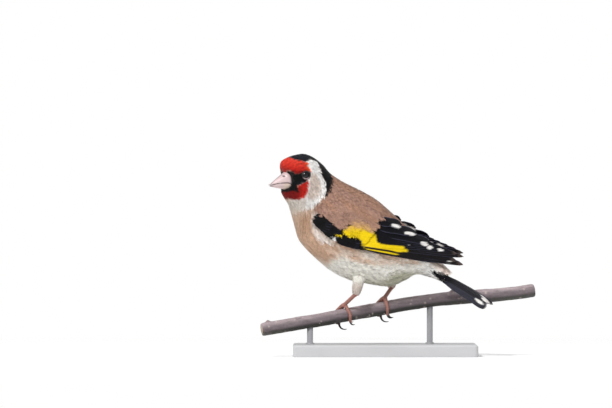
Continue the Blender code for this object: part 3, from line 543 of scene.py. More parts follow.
def head_marks(colours, ahead, z, fine):
    """Lays the head's markings over the body's colours, from places in its side view."""
    zone = zones_at(ahead, z)
    cheek, forehead, crown = (zone(outline, -0.3, 0.3) for outline in (RED_CHEEK, RED_FOREHEAD, CROWN_BLACK))
    shade_under_bill = ramp(ahead, 6.6, 10.4) * ramp(84.5 - z, -2.0, 2.0)
    return painted(
        colours,
        (WHITE, zone(WHITE_HEAD, -0.6, 0.6)),
        (THROAT, zone(THROAT_PALE, -1.5, 1.5) * 0.8),
        (BEIGE, zone(CHEEK_BEIGE, -1.1, 1.1) * (0.75 + 0.25 * fine)),
        (RED, cheek),
        # Painted shade on the red below the bill
        (RED_DARK, cheek * shade_under_bill * 0.8),
        (RED, forehead),
        # Brighter red towards the top of the forehead: partly paler tips, partly painted light from above
        (RED_BRIGHT, forehead * ramp(z, 92.5, 97.0) * (0.35 + 0.6 * fine)),
        (RED_DARK, forehead * ramp(93.4 - z, -0.4, 1.6) * 0.7),
        (RED_ORANGE, forehead * ramp(5.4 - ahead, -0.6, 1.4) * 0.85),
        (BLACK, zone(LORES_BLACK, -0.3, 0.3)),
        (BLACK, zone(CHIN_BLACK, -0.3, 0.3)),
        (BLACK, crown),
        # Painted blue sheen on the top of the crown
        (CROWN_SHEEN_BLUE, crown * ramp(z, 97.0, 99.0) * ramp(ahead, -2.0, 2.0) * (0.5 + fine)))


def wing_heights(x):
    """The lower edge of a wing's face at x, and how far its ridge is above that."""
    low = smooth_values(WING_LOW, x)
    return low, smooth_values(WING_RIDGE, x) - low


def wing_surface(side):
    """The outer face of a folded wing as a function of places in its side view."""
    def surface(x, z, out=0.0):
        low, tall = wing_heights(x)
        q = np.clip((z - low) / tall, 0.0, WING_FACE_END)
        wide = smooth_values(WING_WIDTH, x) + out
        y = wide * (1 - q ** WING_ROUNDNESS) ** (1 / WING_ROUNDNESS)
        lift = smooth_values(FAR_WING_LIFT, x) * q if side > 0 else 0.0
        return np.stack([x, side * y, np.minimum(z, low + tall * WING_FACE_END) + out * q + lift], -1)
    return surface


def side_height(x, y, z):
    """Heights in the near wing's side view: on the far wing its lift is taken off."""
    low, tall = wing_heights(x)
    lift = np.where(y > 0, smooth_values(FAR_WING_LIFT, x), 0.0)
    return np.where(z > low, low + (z - low) * tall / (tall + lift), z)


def wing_marks(x, z, base):
    """The colour at places of a folded wing's side view, laid over each feather's own."""
    zone = zones_at(x, z)
    patch = zone(YELLOW_PATCH, -0.25, 0.35)
    return painted(
        base,
        (YELLOW, patch),
        (YELLOW_BUFF, patch * ramp(z, 61.6, 64.8) * 0.85),
        (YELLOW, zone(YELLOW_BAR, -0.12, 0.2)),
        (YELLOW, zone(YELLOW_LINE, -0.1, 0.15)),
        (YELLOW, zone(YELLOW_STREAK, -0.15, 0.2) * 0.9),
        (WHITE, zone(WHITE_FLECK, -0.1, 0.2)))


# Meshes


def make_object(name, look, points, triangles, colours=None, places=None, normals=None, **numbers):
    """One object from arrays: points in millimetres, triangles, and what each point carries."""
    points = np.asarray(points, np.float64).reshape(-1, 3) * MM
    triangles = np.asarray(triangles, np.int32).reshape(-1, 3)
    mesh = bpy.data.meshes.new(name)
    mesh.vertices.add(len(points))
    mesh.vertices.foreach_set("co", points.astype(np.float32).ravel())
    mesh.loops.add(triangles.size)
    mesh.loops.foreach_set("vertex_index", triangles.ravel())
    mesh.polygons.add(len(triangles))
    mesh.polygons.foreach_set("loop_start", np.arange(0, triangles.size, 3, dtype=np.int32))
    mesh.polygons.foreach_set("use_smooth", np.ones(len(triangles), bool))
    mesh.update(calc_edges=True)
    if colours is not None:
        full = np.ones((len(points), 4), np.float32)
        full[:, :3] = np.reshape(colours, (-1, 3))
        mesh.attributes.new("Plumage", "FLOAT_COLOR", "POINT").data.foreach_set("color", full.ravel())
    for label, values in numbers.items():
        layer = mesh.attributes.new(label, "FLOAT", "POINT")
        layer.data.foreach_set("value", np.asarray(values, np.float32).ravel())
    if places is not None:
        corners = np.asarray(places, np.float32)[triangles]
        close_seams(corners, name)
        mesh.uv_layers.new(name="OFBake").uv.foreach_set("vector", corners.ravel())
    if normals is not None:
        mesh.normals_split_custom_set_from_vertices(unit(normals).tolist())
    mesh.materials.append(look)
    made = bpy.data.objects.new(name, mesh)
    bpy.context.scene.collection.objects.link(made)
    return made


def close_seams(corners, name):
    """Moves the corners of faces that reach over a piece's seam in the bake map on by a round."""
    for axis, round_width in MAP_ROUNDS.get(name, ()):
        row = corners[..., axis]
        row += round_width * (row < row.max(1)[:, None] - 0.6 * round_width)


def finish(made):
    """Sets a piece on the one body."""
    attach(made, "root")


def grid_triangles(rows, columns, loop=False):
    """Triangles over rows of points, each row closed, and joined from last to first if it is a loop."""
    r, c = np.meshgrid(np.arange(rows - (not loop)), np.arange(columns), indexing="ij")
    r, c, beside = r.ravel(), c.ravel(), (c.ravel() + 1) % columns
    here, ahead = r * columns, (r + 1) % rows * columns
    return np.concatenate([np.stack([here + c, here + beside, ahead + beside], 1),
                           np.stack([here + c, ahead + beside, ahead + c], 1)])


def facing_out(points, triangles):
    """The triangles of a closed form, turned about if they face in."""
    a, b, c = (points[triangles[:, k]] for k in range(3))
    inside_out = np.einsum("ij,ij->i", a - points.mean(0), np.cross(b - a, c - a)).sum() < 0
    return triangles[:, ::-1] if inside_out else triangles


def closed_tube(rings):
    """Points and triangles of rings of points joined in a row, with a fan at each end."""
    rings = np.asarray(rings, float)
    rows, columns = rings.shape[:2]
    points = np.concatenate([rings.reshape(-1, 3), [rings[0].mean(0)], [rings[-1].mean(0)]])
    k, beside = np.arange(columns), (np.arange(columns) + 1) % columns
    first, last, end = rows * columns, rows * columns + 1, (rows - 1) * columns
    fans = [np.stack([beside, k, np.full(columns, first)], 1),
            np.stack([end + k, end + beside, np.full(columns, last)], 1)]
    return points, facing_out(points, np.concatenate([grid_triangles(rows, columns), *fans]))


def tube_rings(path, radii, sides):
    """Rings round a path, square to it, carried along without twist. Radii is one row for each ring."""
    path = np.asarray(path, float)
    radii = np.broadcast_to(np.asarray(radii, float).reshape(len(path), -1), (len(path), sides))
    ahead = unit(np.gradient(path, axis=0))
    side = np.cross(ahead[0], (0.3, 0.1, 1.0))
    turns = 2 * math.pi * np.arange(sides) / sides
    rings = []
    for p, r, a in zip(path, radii, ahead):
        side = unit(side - side.dot(a) * a)
        up = np.cross(a, side)
        rings.append(p + (np.cos(turns)[:, None] * side + np.sin(turns)[:, None] * up) * r[:, None])
    return np.array(rings)


class Pile:
    """Many small forms gathered into one object."""

    def __init__(self):
        self.parts = {}
        self.count = 0

    def add(self, points, triangles, **carried):
        """Adds a form: its points, its triangles and what each point carries."""
        form = {"points": points, "triangles": triangles + self.count, **carried}
        for label, rows in form.items():
            self.parts.setdefault(label, []).append(rows)
        self.count += len(points)

    def build(self, name, look):
        """One object of all the forms."""
        return make_object(name, look, **{label: np.concatenate(rows) for label, rows in self.parts.items()})


# Materials


class Look:
    """A material or a world, and short ways to lay out its nodes."""

    def __init__(self, owner):
        owner.use_nodes = True
        self.owner = owner
        self.nodes = owner.node_tree.nodes

    def join(self, node, fixed, linked):
        """Sets a node's fixed inputs and links the others."""
        for key, value in dict(fixed).items():
            node.inputs[key].default_value = value
        for key, source in dict(linked).items():
            self.owner.node_tree.links.new(source, node.inputs[key])
        return node

    def add(self, kind, fixed=(), linked=(), **settings):
        """A new node with its settings and inputs."""
        node = self.nodes.new("ShaderNode" + kind)
        for key, value in settings.items():
            setattr(node, key, value)
        return self.join(node, fixed, linked)

    def scaled(self, source, low, high):
        """A number from 0 to 1 moved to a range."""
        return self.add("MapRange", {"To Min": low, "To Max": high}, {"Value": source}).outputs["Result"]

    def noise(self, scale, detail=3.0, stretch=None):
        """Noise over the object's own places, in bumps to a metre, and stretched if asked."""
        where = self.add("TexCoord").outputs["Object"]
        if stretch:
            where = self.add("Mapping", {"Scale": stretch}, {"Vector": where}).outputs["Vector"]
        return self.add("TexNoise", {"Scale": scale, "Detail": detail}, {"Vector": where}).outputs["Fac"]

    def carried(self, name, output="Fac"):
        """What the mesh's points carry under a name."""
        return self.add("Attribute", attribute_name=name).outputs[output]

    def times(self, colour, factor):
        """A colour multiplied by a number."""
        made = self.add("VectorMath", (), {0: colour, "Scale": factor}, operation="SCALE")
        return made.outputs["Vector"]

    def toned(self, *factors):
        """The painted colour multiplied by numbers."""
        colour = self.carried("Plumage", "Color")
        for factor in factors:
            colour = self.times(colour, factor)
        return colour

    def mixed(self, factor, a, b):
        """A mix of two fixed colours."""
        fixed = {6: (*screen(a), 1.0), 7: (*screen(b), 1.0)}
        return self.add("Mix", fixed, {"Factor": factor}, data_type="RGBA").outputs[2]

    def surface(self, colour, rough, height, depth, fixed=()):
        """The finished material: its colour, its roughness, and a bump of some depth in metres."""
        bump = self.add("Bump", {"Strength": 1.0, "Distance": depth}, {"Height": height})
        linked = {"Base Color": colour, "Roughness": rough, "Normal": bump.outputs["Normal"]}
        self.join(self.nodes["Principled BSDF"], fixed, linked)
        return self.owner


def new_look(name):
    """A new material ready for its nodes."""
    return Look(bpy.data.materials.new(name))


def plumage_material():
    """Soft body feathers: the painted colour, with painted shade towards the roots where the feathers
    overlap, fine uneven tone and a soft sheen.
    """
    look = new_look("plumage")
    tone = look.scaled(look.noise(700.0, 4.0), 0.72, 1.28)
    # Painted shade towards each feather's root, where the feathers overlap one another
    root_shade = look.scaled(look.carried("along"), 0.76, 1.06)
    return look.surface(look.toned(tone, root_shade), look.scaled(look.noise(1500.0), 0.6, 0.85),
                        look.noise(5000.0, 2.0), 0.00005,
                        {"Specular IOR Level": 0.16, "Sheen Weight": 0.08, "Sheen Roughness": 0.5})


def vane_material():
    """Flight feathers: close barbs as fine slanting ridges, with a soft gloss."""
    look = new_look("flight_feather")
    tone = look.scaled(look.noise(500.0, 4.0), 0.8, 1.2)
    ridges = look.add("Math", (), {0: look.carried("barb")}, operation="SINE").outputs[0]
    grooves = look.add("Math", {1: 0.5, 2: 0.5}, {0: ridges}, operation="MULTIPLY_ADD").outputs[0]
    return look.surface(look.toned(tone, look.scaled(grooves, 0.86, 1.06)),
                        look.scaled(look.noise(1200.0), 0.38, 0.6), grooves, 0.00006,
                        {"Specular IOR Level": 0.13})


def horn_material(name, low, high, gloss):
    """Bill and claws: the painted colour with faint lengthwise grain."""
    look = new_look(name)
    grain = look.noise(900.0, 4.0, (1.0, 1.0, 2.5))
    return look.surface(look.toned(look.scaled(grain, low, high)),
                        look.scaled(look.noise(2500.0), gloss, gloss + 0.15), grain, 0.00005)


def eye_material():
    """A dark brown iris round a black pupil under a wet clear surface."""
    look = new_look("eye")
    band = look.add("ValToRGB", (), {"Fac": look.carried("out")})
    stops = band.color_ramp.elements
    for k, (place, colour) in enumerate(IRIS_BANDS):
        stop = stops[k] if k < 2 else stops.new(place)
        stop.position = place
        stop.color = (*colour, 1.0)
    fibres = look.scaled(look.noise(2600.0, 5.0), 0.6, 1.4)
    shader = look.nodes["Principled BSDF"]
    look.join(shader, {"IOR": 1.45, "Specular IOR Level": 0.5},
              {"Base Color": look.times(band.outputs["Color"], fibres),
               "Roughness": look.scaled(look.noise(900.0), 0.03, 0.07)})
    return look.owner


def skin_material():
    """Scaly skin of the legs, feet and lids: the painted colour with fine creases."""
    look = new_look("leg_skin")
    creases = look.noise(2600.0, 5.0)
    tone = look.scaled(look.noise(700.0, 4.0), 0.65, 1.35)
    return look.surface(look.toned(tone), look.scaled(creases, 0.4, 0.65), creases, 0.0001)


def bark_material():
    """Smooth young bark, grey and mauve, with painted light above and painted shade below, and fine
    lengthwise cracks.
    """
    look = new_look("bark")
    tone = look.scaled(look.noise(260.0, 6.0, (0.35, 1.0, 1.6)), 0.55, 1.45)
    spots = look.noise(900.0, 5.0)
    return look.surface(look.toned(tone, look.scaled(spots, 0.75, 1.25)), look.scaled(spots, 0.45, 0.75),
                        spots, 0.00025)


def painted_material(name, colour, low, high):
    """A plain painted surface with faint grain."""
    look = new_look(name)
    grain = look.noise(180.0, 6.0, (0.3, 1.0, 1.0))
    shade = tuple(c * 0.93 for c in colour)
    return look.surface(look.mixed(grain, shade, colour), look.scaled(look.noise(800.0, 5.0), low, high),
                        look.noise(2200.0, 4.0), 0.00004, {"Metallic": 0.0})


# Body feathers


def strip_shapes(pairs):
    """The strips of one feather: where each starts and ends along it and how far across it ends."""
    rows = []
    for k in range(pairs):
        start = 0.06 + 0.60 * k / (pairs - 1)
        end = min(start + 0.44, 0.97)
        reach = math.sqrt(max(1 - ((end - 0.58) / 0.46) ** 2, 0.08))
        rows += [(start, end, -reach), (start, end, reach)]
    rows += [(0.0, 0.8, 0.0), (0.55, 1.0, 0.0)]
    return np.array(rows)


def tuft_strips(surface, p, q, length, width, rng, pairs, depth, proud, twist, facing=1.0):
    """Every strip of many feathers on a surface: points, normals, and shares along and across."""
    dp, dq = slopes(surface, p, q)
    normal = unit(np.cross(dp, dq)) * facing
    per_p, per_q = (np.maximum(np.linalg.norm(d, axis=1), 0.8)[:, None, None] for d in (dp, dq))
    strips = strip_shapes(pairs)
    count, kinds = len(p), len(strips)
    start, end, reach = (np.broadcast_to(strips[:, k], (count, kinds)) for k in range(3))
    end = start + (end - start) * rng.uniform(0.82, 1.12, (count, kinds))
    reach = reach * rng.uniform(0.75, 1.15, (count, kinds)) + rng.normal(0, 0.06, (count, kinds))
    half = 0.5 / pairs
    middle = start + 0.55 * (end - start)
    along = np.stack([start, start, middle, middle, end], 2)
    outer = 0.74 * reach
    across = np.stack([0 * reach - half, 0 * reach + half, outer - half, outer + half, reach], 2)
    proud, depth = (np.broadcast_to(v, (count,))[:, None, None] for v in (proud, depth))
    length, width, turn = length[:, None, None], width[:, None, None], twist[:, None, None]
    go_long, go_wide = along * length, across * width / 2
    a = go_long * np.cos(turn) - go_wide * np.sin(turn)
    b = go_long * np.sin(turn) + go_wide * np.cos(turn)
    points = surface(p[:, None, None] + a / per_p, q[:, None, None] + b / per_q)
    rise = proud * along - depth * (1 - np.clip(along, 0, 1)) ** 1.6
    rise = rise - 0.06 * width * across ** 2 + rng.normal(0, 0.012, (count, kinds))[..., None]
    normal, dp, dq = (v[:, None, None, :] for v in (normal, unit(dp), unit(dq)))
    leaning = normal + dq * across[..., None] * 0.22 + dp * 0.12
    return points + normal * rise[..., None], leaning, along, across


def add_strips(pile, strips, colours, u, v, facing=1.0):
    """Adds feathers to a pile, each with its own small patch of the bake map at its root's place (u, v)."""
    points, normals, along, across = strips
    one = np.array([(0, 3, 1), (0, 2, 3), (2, 4, 3)])[:, ::1 if facing > 0 else -1]
    starts = 5 * np.arange(along.shape[0] * along.shape[1])
    places = np.stack([(u % 1.0)[:, None, None] * MAP_SPAN + PATCH_LONG * along,
                       (v % 1.0)[:, None, None] * MAP_SPAN + MAP_EDGE + PATCH_HALF * across], -1)
    triangles = (one + starts[:, None, None]).reshape(-1, 3)
    colours = np.broadcast_to(colours, points.shape).reshape(-1, 3)
    pile.add(points.reshape(-1, 3), triangles, colours=colours, places=places.reshape(-1, 2),
             normals=normals.reshape(-1, 3), along=along.ravel())


def spread_evenly(surface, p_range, q_range, steps, density, rng):
    """Places on a surface at a given number to a square millimetre, evenly spread."""
    ps = np.linspace(*p_range, steps[0], endpoint=False)
    qs = np.linspace(*q_range, steps[1], endpoint=False)
    p, q = (v.ravel() for v in np.meshgrid(ps, qs, indexing="ij"))
    sp, sq = (p_range[1] - p_range[0]) / steps[0], (q_range[1] - q_range[0]) / steps[1]
    dp = surface(p + sp, q) - surface(p, q)
    dq = surface(p, q + sq) - surface(p, q)
    area = np.linalg.norm(np.cross(dp, dq), axis=1)
    total = np.cumsum(area * density(p, q))
    chosen = np.flatnonzero(np.diff(np.floor(total + rng.random()), prepend=0) > 0)
    count = len(chosen)
    return p[chosen] + rng.random(count) * sp, q[chosen] + (rng.random(count) - 0.5) * 2 * sq


def body_lengths(t, phi):
    """The length of the body feathers at each place."""
    under = (1 - np.cos(phi)) / 2
    head = 1.25 + 0.11 * t ** 1.2
    body = 3.4 + 1.5 * ramp(t, 8.0, 13.0)
    length = head + (body - head) * ramp(t, 5.5, 9.0)
    return length + 0.7 * ramp(t, 14.5, 17.0) + 0.6 * ramp(under, 0.3, 0.6) * ramp(t, 9.0, 12.0)


def pace(t, phi):
    """How many millimetres of surface one section number takes."""
    return np.maximum(np.linalg.norm(body_surface(t + 0.05, phi) - body_surface(t, phi), axis=-1) / 0.05, 0.8)


def keep_off_eyes(points, clearance):
    """Moves points out of the way of the eyes."""
    for side in (-1, 1):
        centre, facing = eye_line(side, LID_AHEAD, LID_OUT)
        away = points - centre
        depth = away @ facing
        flat = away - depth[..., None] * facing
        r = np.linalg.norm(flat, axis=-1)
        near = (np.abs(depth) < 3.0) & (r < clearance)
        push = np.where(near, clearance / np.maximum(r, 0.05), 1.0)
        points = centre + depth[..., None] * facing + flat * push[..., None]
    return points


def over_wing(points, lifted):
    """Lifts the chosen body feathers where they lie over the upper part of a folded wing."""
    x, y, z = (points[..., k] for k in range(3))
    flat = side_height(x, y, z)
    more = np.abs(wing_surface(-1)(x, flat, 1.45)[..., 1]) - np.abs(y)
    share = ramp(smooth_values(WING_TOP, x) + 4.0 - flat, 0.0, 4.0) * ramp(6.5 - more, 0.0, 2.0)
    share = share * ramp(x, WING_FRONT - 1.5, WING_FRONT + 3.0) * ramp(24.0 - x, 0.0, 5.0)
    share = share * (flat > smooth_values(WING_LOW, x)) * lifted
    return np.stack([x, y + np.sign(y) * np.maximum(more, 0.0) * share, z], -1)


def over_shown_wing(points, margin):
    """Whether points lie on the part of a wing that shows, by more than a margin inside its outline."""
    x, y, z = (points[..., k] for k in range(3))
    z = side_height(x, y, z)
    deep = np.abs(wing_surface(-1)(x, z)[..., 1]) - np.abs(y)
    inside = (deep > -1.5) & (deep < WING_COVERS) & (z > smooth_values(WING_LOW, x) - 0.3)
    return inside & (depth_inside(WING_SHOWS, x, z) > margin)


def body_tufts(look):
    """All the small feathers of the head and body, in a few objects."""
    rng = np.random.default_rng(DRAWS["body"])

    def density(t, phi):
        layers = np.where(t < HEAD_END, HEAD_LAYERS, BODY_LAYERS)
        return layers / (body_lengths(t, phi) ** 2 * FEATHER_AREA)

    t, phi = spread_evenly(body_surface, (0.0, LAST_FEATHERS), (0.0, 2 * math.pi), (520, 700), density, rng)
    roots = body_surface(t, phi)
    tips = body_surface(t + body_lengths(t, phi) / pace(t, phi), phi)
    margin = rng.uniform(0.0, 0.4, len(t)) + 1.3 * ramp(-30.0 - tips[:, 0], 0.0, 3.0)
    keep = ~over_shown_wing(roots, 0.0) & ~over_shown_wing(tips, margin)
    t, phi = t[keep], phi[keep]
    rear, upper, fore = t >= NAPE_END, np.cos(phi) > 0.15, t < BREAST_END
    zones = (("head", t < FACE_END, "plumage_head"), ("nape", (t >= FACE_END) & ~rear, "plumage_head"),
             ("back", rear & upper, "plumage_back"), ("breast", rear & ~upper & fore, "plumage_buff"),
             ("belly", rear & ~upper & ~fore, "plumage_pale"))
    for zone, chosen, slot in zones:
        for name, on_side in (("left", np.sin(phi) < 0), ("right", np.sin(phi) >= 0)):
            some = np.flatnonzero(chosen & on_side)
            pile = Pile()
            for part in np.array_split(some, max(1, len(some) // AT_ONCE)):
                add_tufts(pile, t[part], phi[part], rng)
            finish(pile.build("feathers_" + zone + "_" + name, look))


def add_tufts(pile, t, phi, rng):
    """Adds body feathers to a pile, rooted at places of the body, with the markings there."""
    count = len(t)
    length = body_lengths(t, phi) * rng.uniform(0.85, 1.15, count)
    width = length * rng.uniform(0.42, 0.52, count)
    loose = 0.12 * ramp((1 - np.cos(phi)) / 2, 0.4, 0.8) * ramp(t, 9.0, 12.0)
    proud = np.where(t < HEAD_END, -0.12, -0.05) + loose * rng.uniform(0, 1, count)
    twist = (wave_noise(t * 0.8, phi * 2.2, 9) - 0.5) * 0.18 + rng.normal(0, 0.05, count)
    depth = ROOT_DEPTH + DEPTH_BY_LENGTH * length
    points, normals, along, across = tuft_strips(body_surface, t, phi, length, width, rng, 5, depth, proud,
                                                 twist)
    roots, tips = body_surface(t, phi), body_surface(t + length / pace(t, phi), phi)
    lifted = roots[:, 2] > smooth_values(WING_LOW, roots[:, 0]) + 4.0
    lifted = lifted & (depth_inside(WING_SHOWS, tips[:, 0], side_height(*tips.T)) < 1.7)
    points = over_wing(keep_off_eyes(points, EYE_CLEAR), lifted[:, None, None])
    jitter = rng.normal(0, 0.12, (count, 2)) * np.where(t < HEAD_END, 1.0, 3.0)[:, None]
    marks = body_marks(t + 0.6 * length / pace(t, phi), phi, jitter)
    tone = rng.normal(1.0, 0.045, (count, 1, 1)) * rng.normal(1.0, 0.05, (*along.shape[:2], 1))
    tone = tone * (1.0 + 0.16 * ramp(along, 0.55, 1.0))
    colours = np.clip(marks[:, None, None, :] * tone[..., None], 0, 1)
    strips = (points, normals, along, across)
    add_strips(pile, strips, colours, t / LAST_SECTION, phi / (2 * math.pi))


def make_skin(look):
    """One skin under the feathers of the head, body and thighs, with the same markings."""
    rows, columns = SKIN_STEPS
    t, phi = np.meshgrid(np.linspace(0, LAST_SECTION, rows),
                         np.linspace(0, 2 * math.pi, columns, endpoint=False), indexing="ij")
    dp, dq = slopes(body_surface, t, phi)
    dp[0] = dp[1]
    inward = unit(np.cross(dp, dq))
    inward[0], inward[-1] = inward[1], inward[-2]
    depth = SKIN_DEPTH + DEPTH_BY_LENGTH * body_lengths(t, phi)
    rings = keep_off_eyes(body_surface(t, phi) - inward * depth[..., None], 2.0)
    points, triangles = closed_tube(rings)
    colours = body_marks(t, phi, np.zeros((*t.shape, 2))).reshape(-1, 3) * SKIN_SHADE
    colours = np.concatenate([colours, screen([BLACK, BLACK])])
    places = np.stack([t / LAST_SECTION, phi / (2 * math.pi)], -1).reshape(-1, 2)
    places = np.concatenate([places, [(0, 0.5), (1, 0.5)]]) * MAP_OF_BODY
    pile = Pile()
    pile.add(points, triangles, colours=colours, places=places, along=np.full(len(points), 0.6))
    for k, leg in enumerate(LEGS.values()):
        f = np.linspace(0, 1, 24)
        rings = tube_rings(thigh_middle(leg, f), thigh_radius(f) - THIGH_SKIN_DEPTH, 24)
        points, triangles = closed_tube(rings)
        turn = np.append(np.tile(np.linspace(0, 1, 24, endpoint=False), 24), [0.5, 0.5])
        down = np.append(np.repeat(f, 24), [0.0, 1.0])
        places = np.stack([0.84 + MAP_OF_THIGH * turn, 0.05 + 0.5 * k + 0.3 * down], -1)
        pile.add(points, triangles, colours=np.broadcast_to(screen(THIGH_PALE) * SKIN_SHADE, points.shape),
                 places=places, along=np.full(len(points), 0.6))
    made = pile.build("skin", look)
    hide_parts("head", "neck", "torso", "rump", "thigh_left", "thigh_right")
    finish(made)


def thigh_middle(leg, f):
    """A thigh's middle line: its upper part lies deeper, so that the belly's feathers cover it."""
    knee, heel = np.array(leg["knee"]), np.array(leg["heel"])
    inward = np.array((0.0, -math.copysign(THIGH_SINK, knee[1]), 0.0))
    return knee + (heel - knee) * f[..., None] + inward * (1 - ramp(f, 0.1, 0.7))[..., None]


def thigh_radius(f):
    """A thigh's radius at shares of its length."""
    return THIGH_TOP_R + (THIGH_HEEL_R - THIGH_TOP_R) * np.clip(f, 0, 1) ** 0.9


def thigh_tufts(name, leg, look):
    """Short pale feathers down a thigh."""
    rng = np.random.default_rng(DRAWS["thigh"])
    down = unit(np.array(leg["heel"]) - np.array(leg["knee"]))
    side = unit(np.cross(down, (1.0, 0.2, 0.1)))
    other = np.cross(down, side)

    def surface(f, turn):
        radius = thigh_radius(f) + 0.45 * ramp(f, 0.5, 0.85) - np.maximum(f - 0.98, 0) * 6.0
        round_leg = np.cos(turn)[..., None] * side + np.sin(turn)[..., None] * other
        return thigh_middle(leg, f) + round_leg * radius[..., None]

    def density(f, turn):
        return THIGH_DENSITY + 0 * f

    f, turn = spread_evenly(surface, (0.25, 0.96), (0.0, 2 * math.pi), (60, 90), density, rng)
    count = len(f)
    length = (2.6 - 1.2 * f) * rng.uniform(0.85, 1.15, count)
    twist = rng.normal(0, 0.12, count)
    strips = tuft_strips(surface, f, turn, length, length * 0.5, rng, 4, 0.4, 0.05, twist, -1.0)
    tone = rng.normal(1.0, 0.08, (*strips[2].shape[:2], 1, 1))
    colours = painted(screen(BELLY), (THIGH_PALE, ramp(f, 0.35, 0.7)))[:, None, None, :] * tone
    pile = Pile()
    add_strips(pile, strips, colours, f, turn / (2 * math.pi), -1.0)
    finish(pile.build("feathers_thigh_" + name, look))


# Wing and tail feathers


def vane_outline(f, tip):
    """Half width along a flight feather as a share of the greatest, with a pointed or a round tip."""
    root = 0.6 + 0.4 * ramp(f, 0.0, 0.25)
    end = np.sqrt(np.clip(1 - ((f - (1 - tip)) / tip) ** 2, 0, 1))
    return root * np.where(f > 1 - tip, end, 1.0)


def add_vane(pile, line, width, tip, shaft, colouring, cell, length, rng):
    """One feather as a thin closed vane with a raised shaft. Its line is a middle and ways across and out."""
    middle, across, out = (way[:, None] for way in line)
    ws = np.array(VANE_COLUMNS)
    f = np.linspace(0, 1, len(middle))
    half = width / 2 * np.maximum(vane_outline(f, tip), 0.03)
    ragged = wave_noise(f[:, None] * length * 1.1, 3.3 * np.sign(ws) + 5.0, int(rng.integers(99)))
    w = np.where(ws < 0, ws * (1 - shaft), ws * (1 + shaft))
    span = w * half[:, None] * np.where(np.abs(ws) > 0.7, 1 + 0.10 * (ragged - 0.5), 1.0)
    ridge = 0.10 * np.exp(-(ws / 0.05) ** 2) * (1 - f[:, None]) ** 0.5
    camber = -0.05 * width * ws ** 2
    flat = middle + across * span[..., None]
    top = flat + out * (ridge + camber + VANE_THICK / 2)[..., None]
    low = flat + out * (camber - VANE_THICK / 2)[..., None]
    points, triangles = closed_tube(np.concatenate([top, low[:, ::-1]], 1))
    f = np.append(np.repeat(f, 2 * len(ws)), [0.0, 1.0])
    w = np.append(np.tile(np.append(ws, ws[::-1]), len(middle)), [0.0, 0.0])
    span = np.append(np.concatenate([span, span[:, ::-1]], 1), [0.0, 0.0])
    barb = (f * length - 1.3 * np.abs(span)) * (2 * math.pi / BARB_STEP)
    k, columns, rows = cell
    places = np.stack([(k % columns + 0.04 + 0.92 * f) / columns, (k // columns + 0.5 + 0.46 * w) / rows], -1)
    colours = np.clip(colouring(points, f, w), 0, 1)
    pile.add(points, triangles, colours=colours, places=places, barb=barb, along=f)


def wing_line(side, root, tip, stand_out, steps):
    """A feather's line over the wing's face, with its ways across and out."""
    face = wing_surface(side)
    f = np.linspace(0, 1, steps)
    x = root[0] + (tip[0] - root[0]) * f
    z = root[1] + (tip[1] - root[1]) * f
    rise = stand_out * np.minimum(1.0, 0.15 + 1.6 * f)
    middle = face(x, z, rise)
    up = unit(face(x, z + 0.4, rise) - face(x, z - 0.4, rise))
    ahead = unit(np.gradient(middle, axis=0))
    out = unit(np.cross(up, ahead))
    out = out * np.where(out[:, 1:2] * side < 0, -1, 1)
    tilt = (VANE_TILT * (0.4 + 0.6 * f))[:, None]
    return middle, up * np.cos(tilt) - out * np.sin(tilt), out * np.cos(tilt) + up * np.sin(tilt)


def white_spots(x, z, spots):
    """White spots of a side view as layers of colour."""
    for spot_x, spot_z, long, high, slope in spots:
        across = (z - spot_z - slope * (x - spot_x)) / high
        yield WHITE, ramp(1.12 - np.hypot((x - spot_x) / long, across), 0.0, 0.25)


def flight_paint(side, base=FEATHER_BLACK):
    """How a wing feather is coloured: paler edge that is partly painted sheen, brown tip, and the wing's
    yellow and white by place.
    """
    spots = WHITE_SPOTS if side < 0 else (*WHITE_SPOTS, FAR_WHITE_SPOT)
    brown = 0.7 if base == FEATHER_BROWN else 0.0

    def colouring(points, f, w):
        x, z = points[:, 0], side_height(*points.T)
        # A paler edge, partly painted sheen
        colours = painted(screen(base), (FEATHER_EDGE_SHEEN, 0.6 * ramp(np.abs(w), 0.78, 0.98)),
                          (TIP_BROWN, brown * ramp(f, 0.92, 1.0) * ramp(x, 24.0, 30.0)))
        return painted(wing_marks(x, z, colours), *white_spots(x, z, spots))
    return colouring


def tail_paint(turn):
    """How a tail feather is coloured: thin grey edges that are partly painted sheen, and white spots near the
    tip.
    """
    def colouring(points, f, w):
        flat = (points - TAIL_ROOT) @ turn
        # Thin edges, partly painted sheen
        return painted(screen(TAIL_BLACK), (TAIL_EDGE_SHEEN, 0.5 * ramp(np.abs(w), 0.9, 1.0)),
                       (WHITE, 0.5 * ramp(f, 0.985, 1.0)),
                       *white_spots(points[:, 0], points[:, 2], TAIL_WHITE_SPOTS),
                       *white_spots(flat[:, 0], flat[:, 1], FAR_TAIL_SPOT))
    return colouring


def between(pair, f):
    """A place on the line between two."""
    return tuple(a + (b - a) * f for a, b in zip(*pair))


def row_places(row):
    """The root, tip, width and height of each feather in a row."""
    count, low_root, high_root, low_tip, high_tip, width, stand_out = row
    for k in range(count):
        f = k / (count - 1)
        yield between((low_root, high_root), f), between((low_tip, high_tip), f), width, stand_out + 0.03 * k


def wing_feathers(side):
    """Every feather of one wing: root, tip, width, height, tip's share, shaft place and colouring."""
    made = []
    for k, tip in enumerate(PRIMARY_TIPS):
        root = between(PRIMARY_ROOTS, k / (len(PRIMARY_TIPS) - 1))
        base = FEATHER_BROWN if k < BROWN_PRIMARIES else FEATHER_BLACK
        made.append((root, tip, PRIMARY_WIDTH, 0.06 * k, *PRIMARY_FORM, flight_paint(side, base)))
    made += [(*place, *SECONDARY_FORM, flight_paint(side)) for place in row_places(SECONDARY_ROW)]
    made += [(*place, *TERTIAL_FORM, flight_paint(side)) for place in TERTIALS]
    for row in COVERT_ROWS:
        for place in row_places(row):
            if depth_inside(WING_SHOWS, *(np.array(v) for v in place[1])) > -0.6:
                made.append((*place, *COVERT_FORM, flight_paint(side)))
    return made


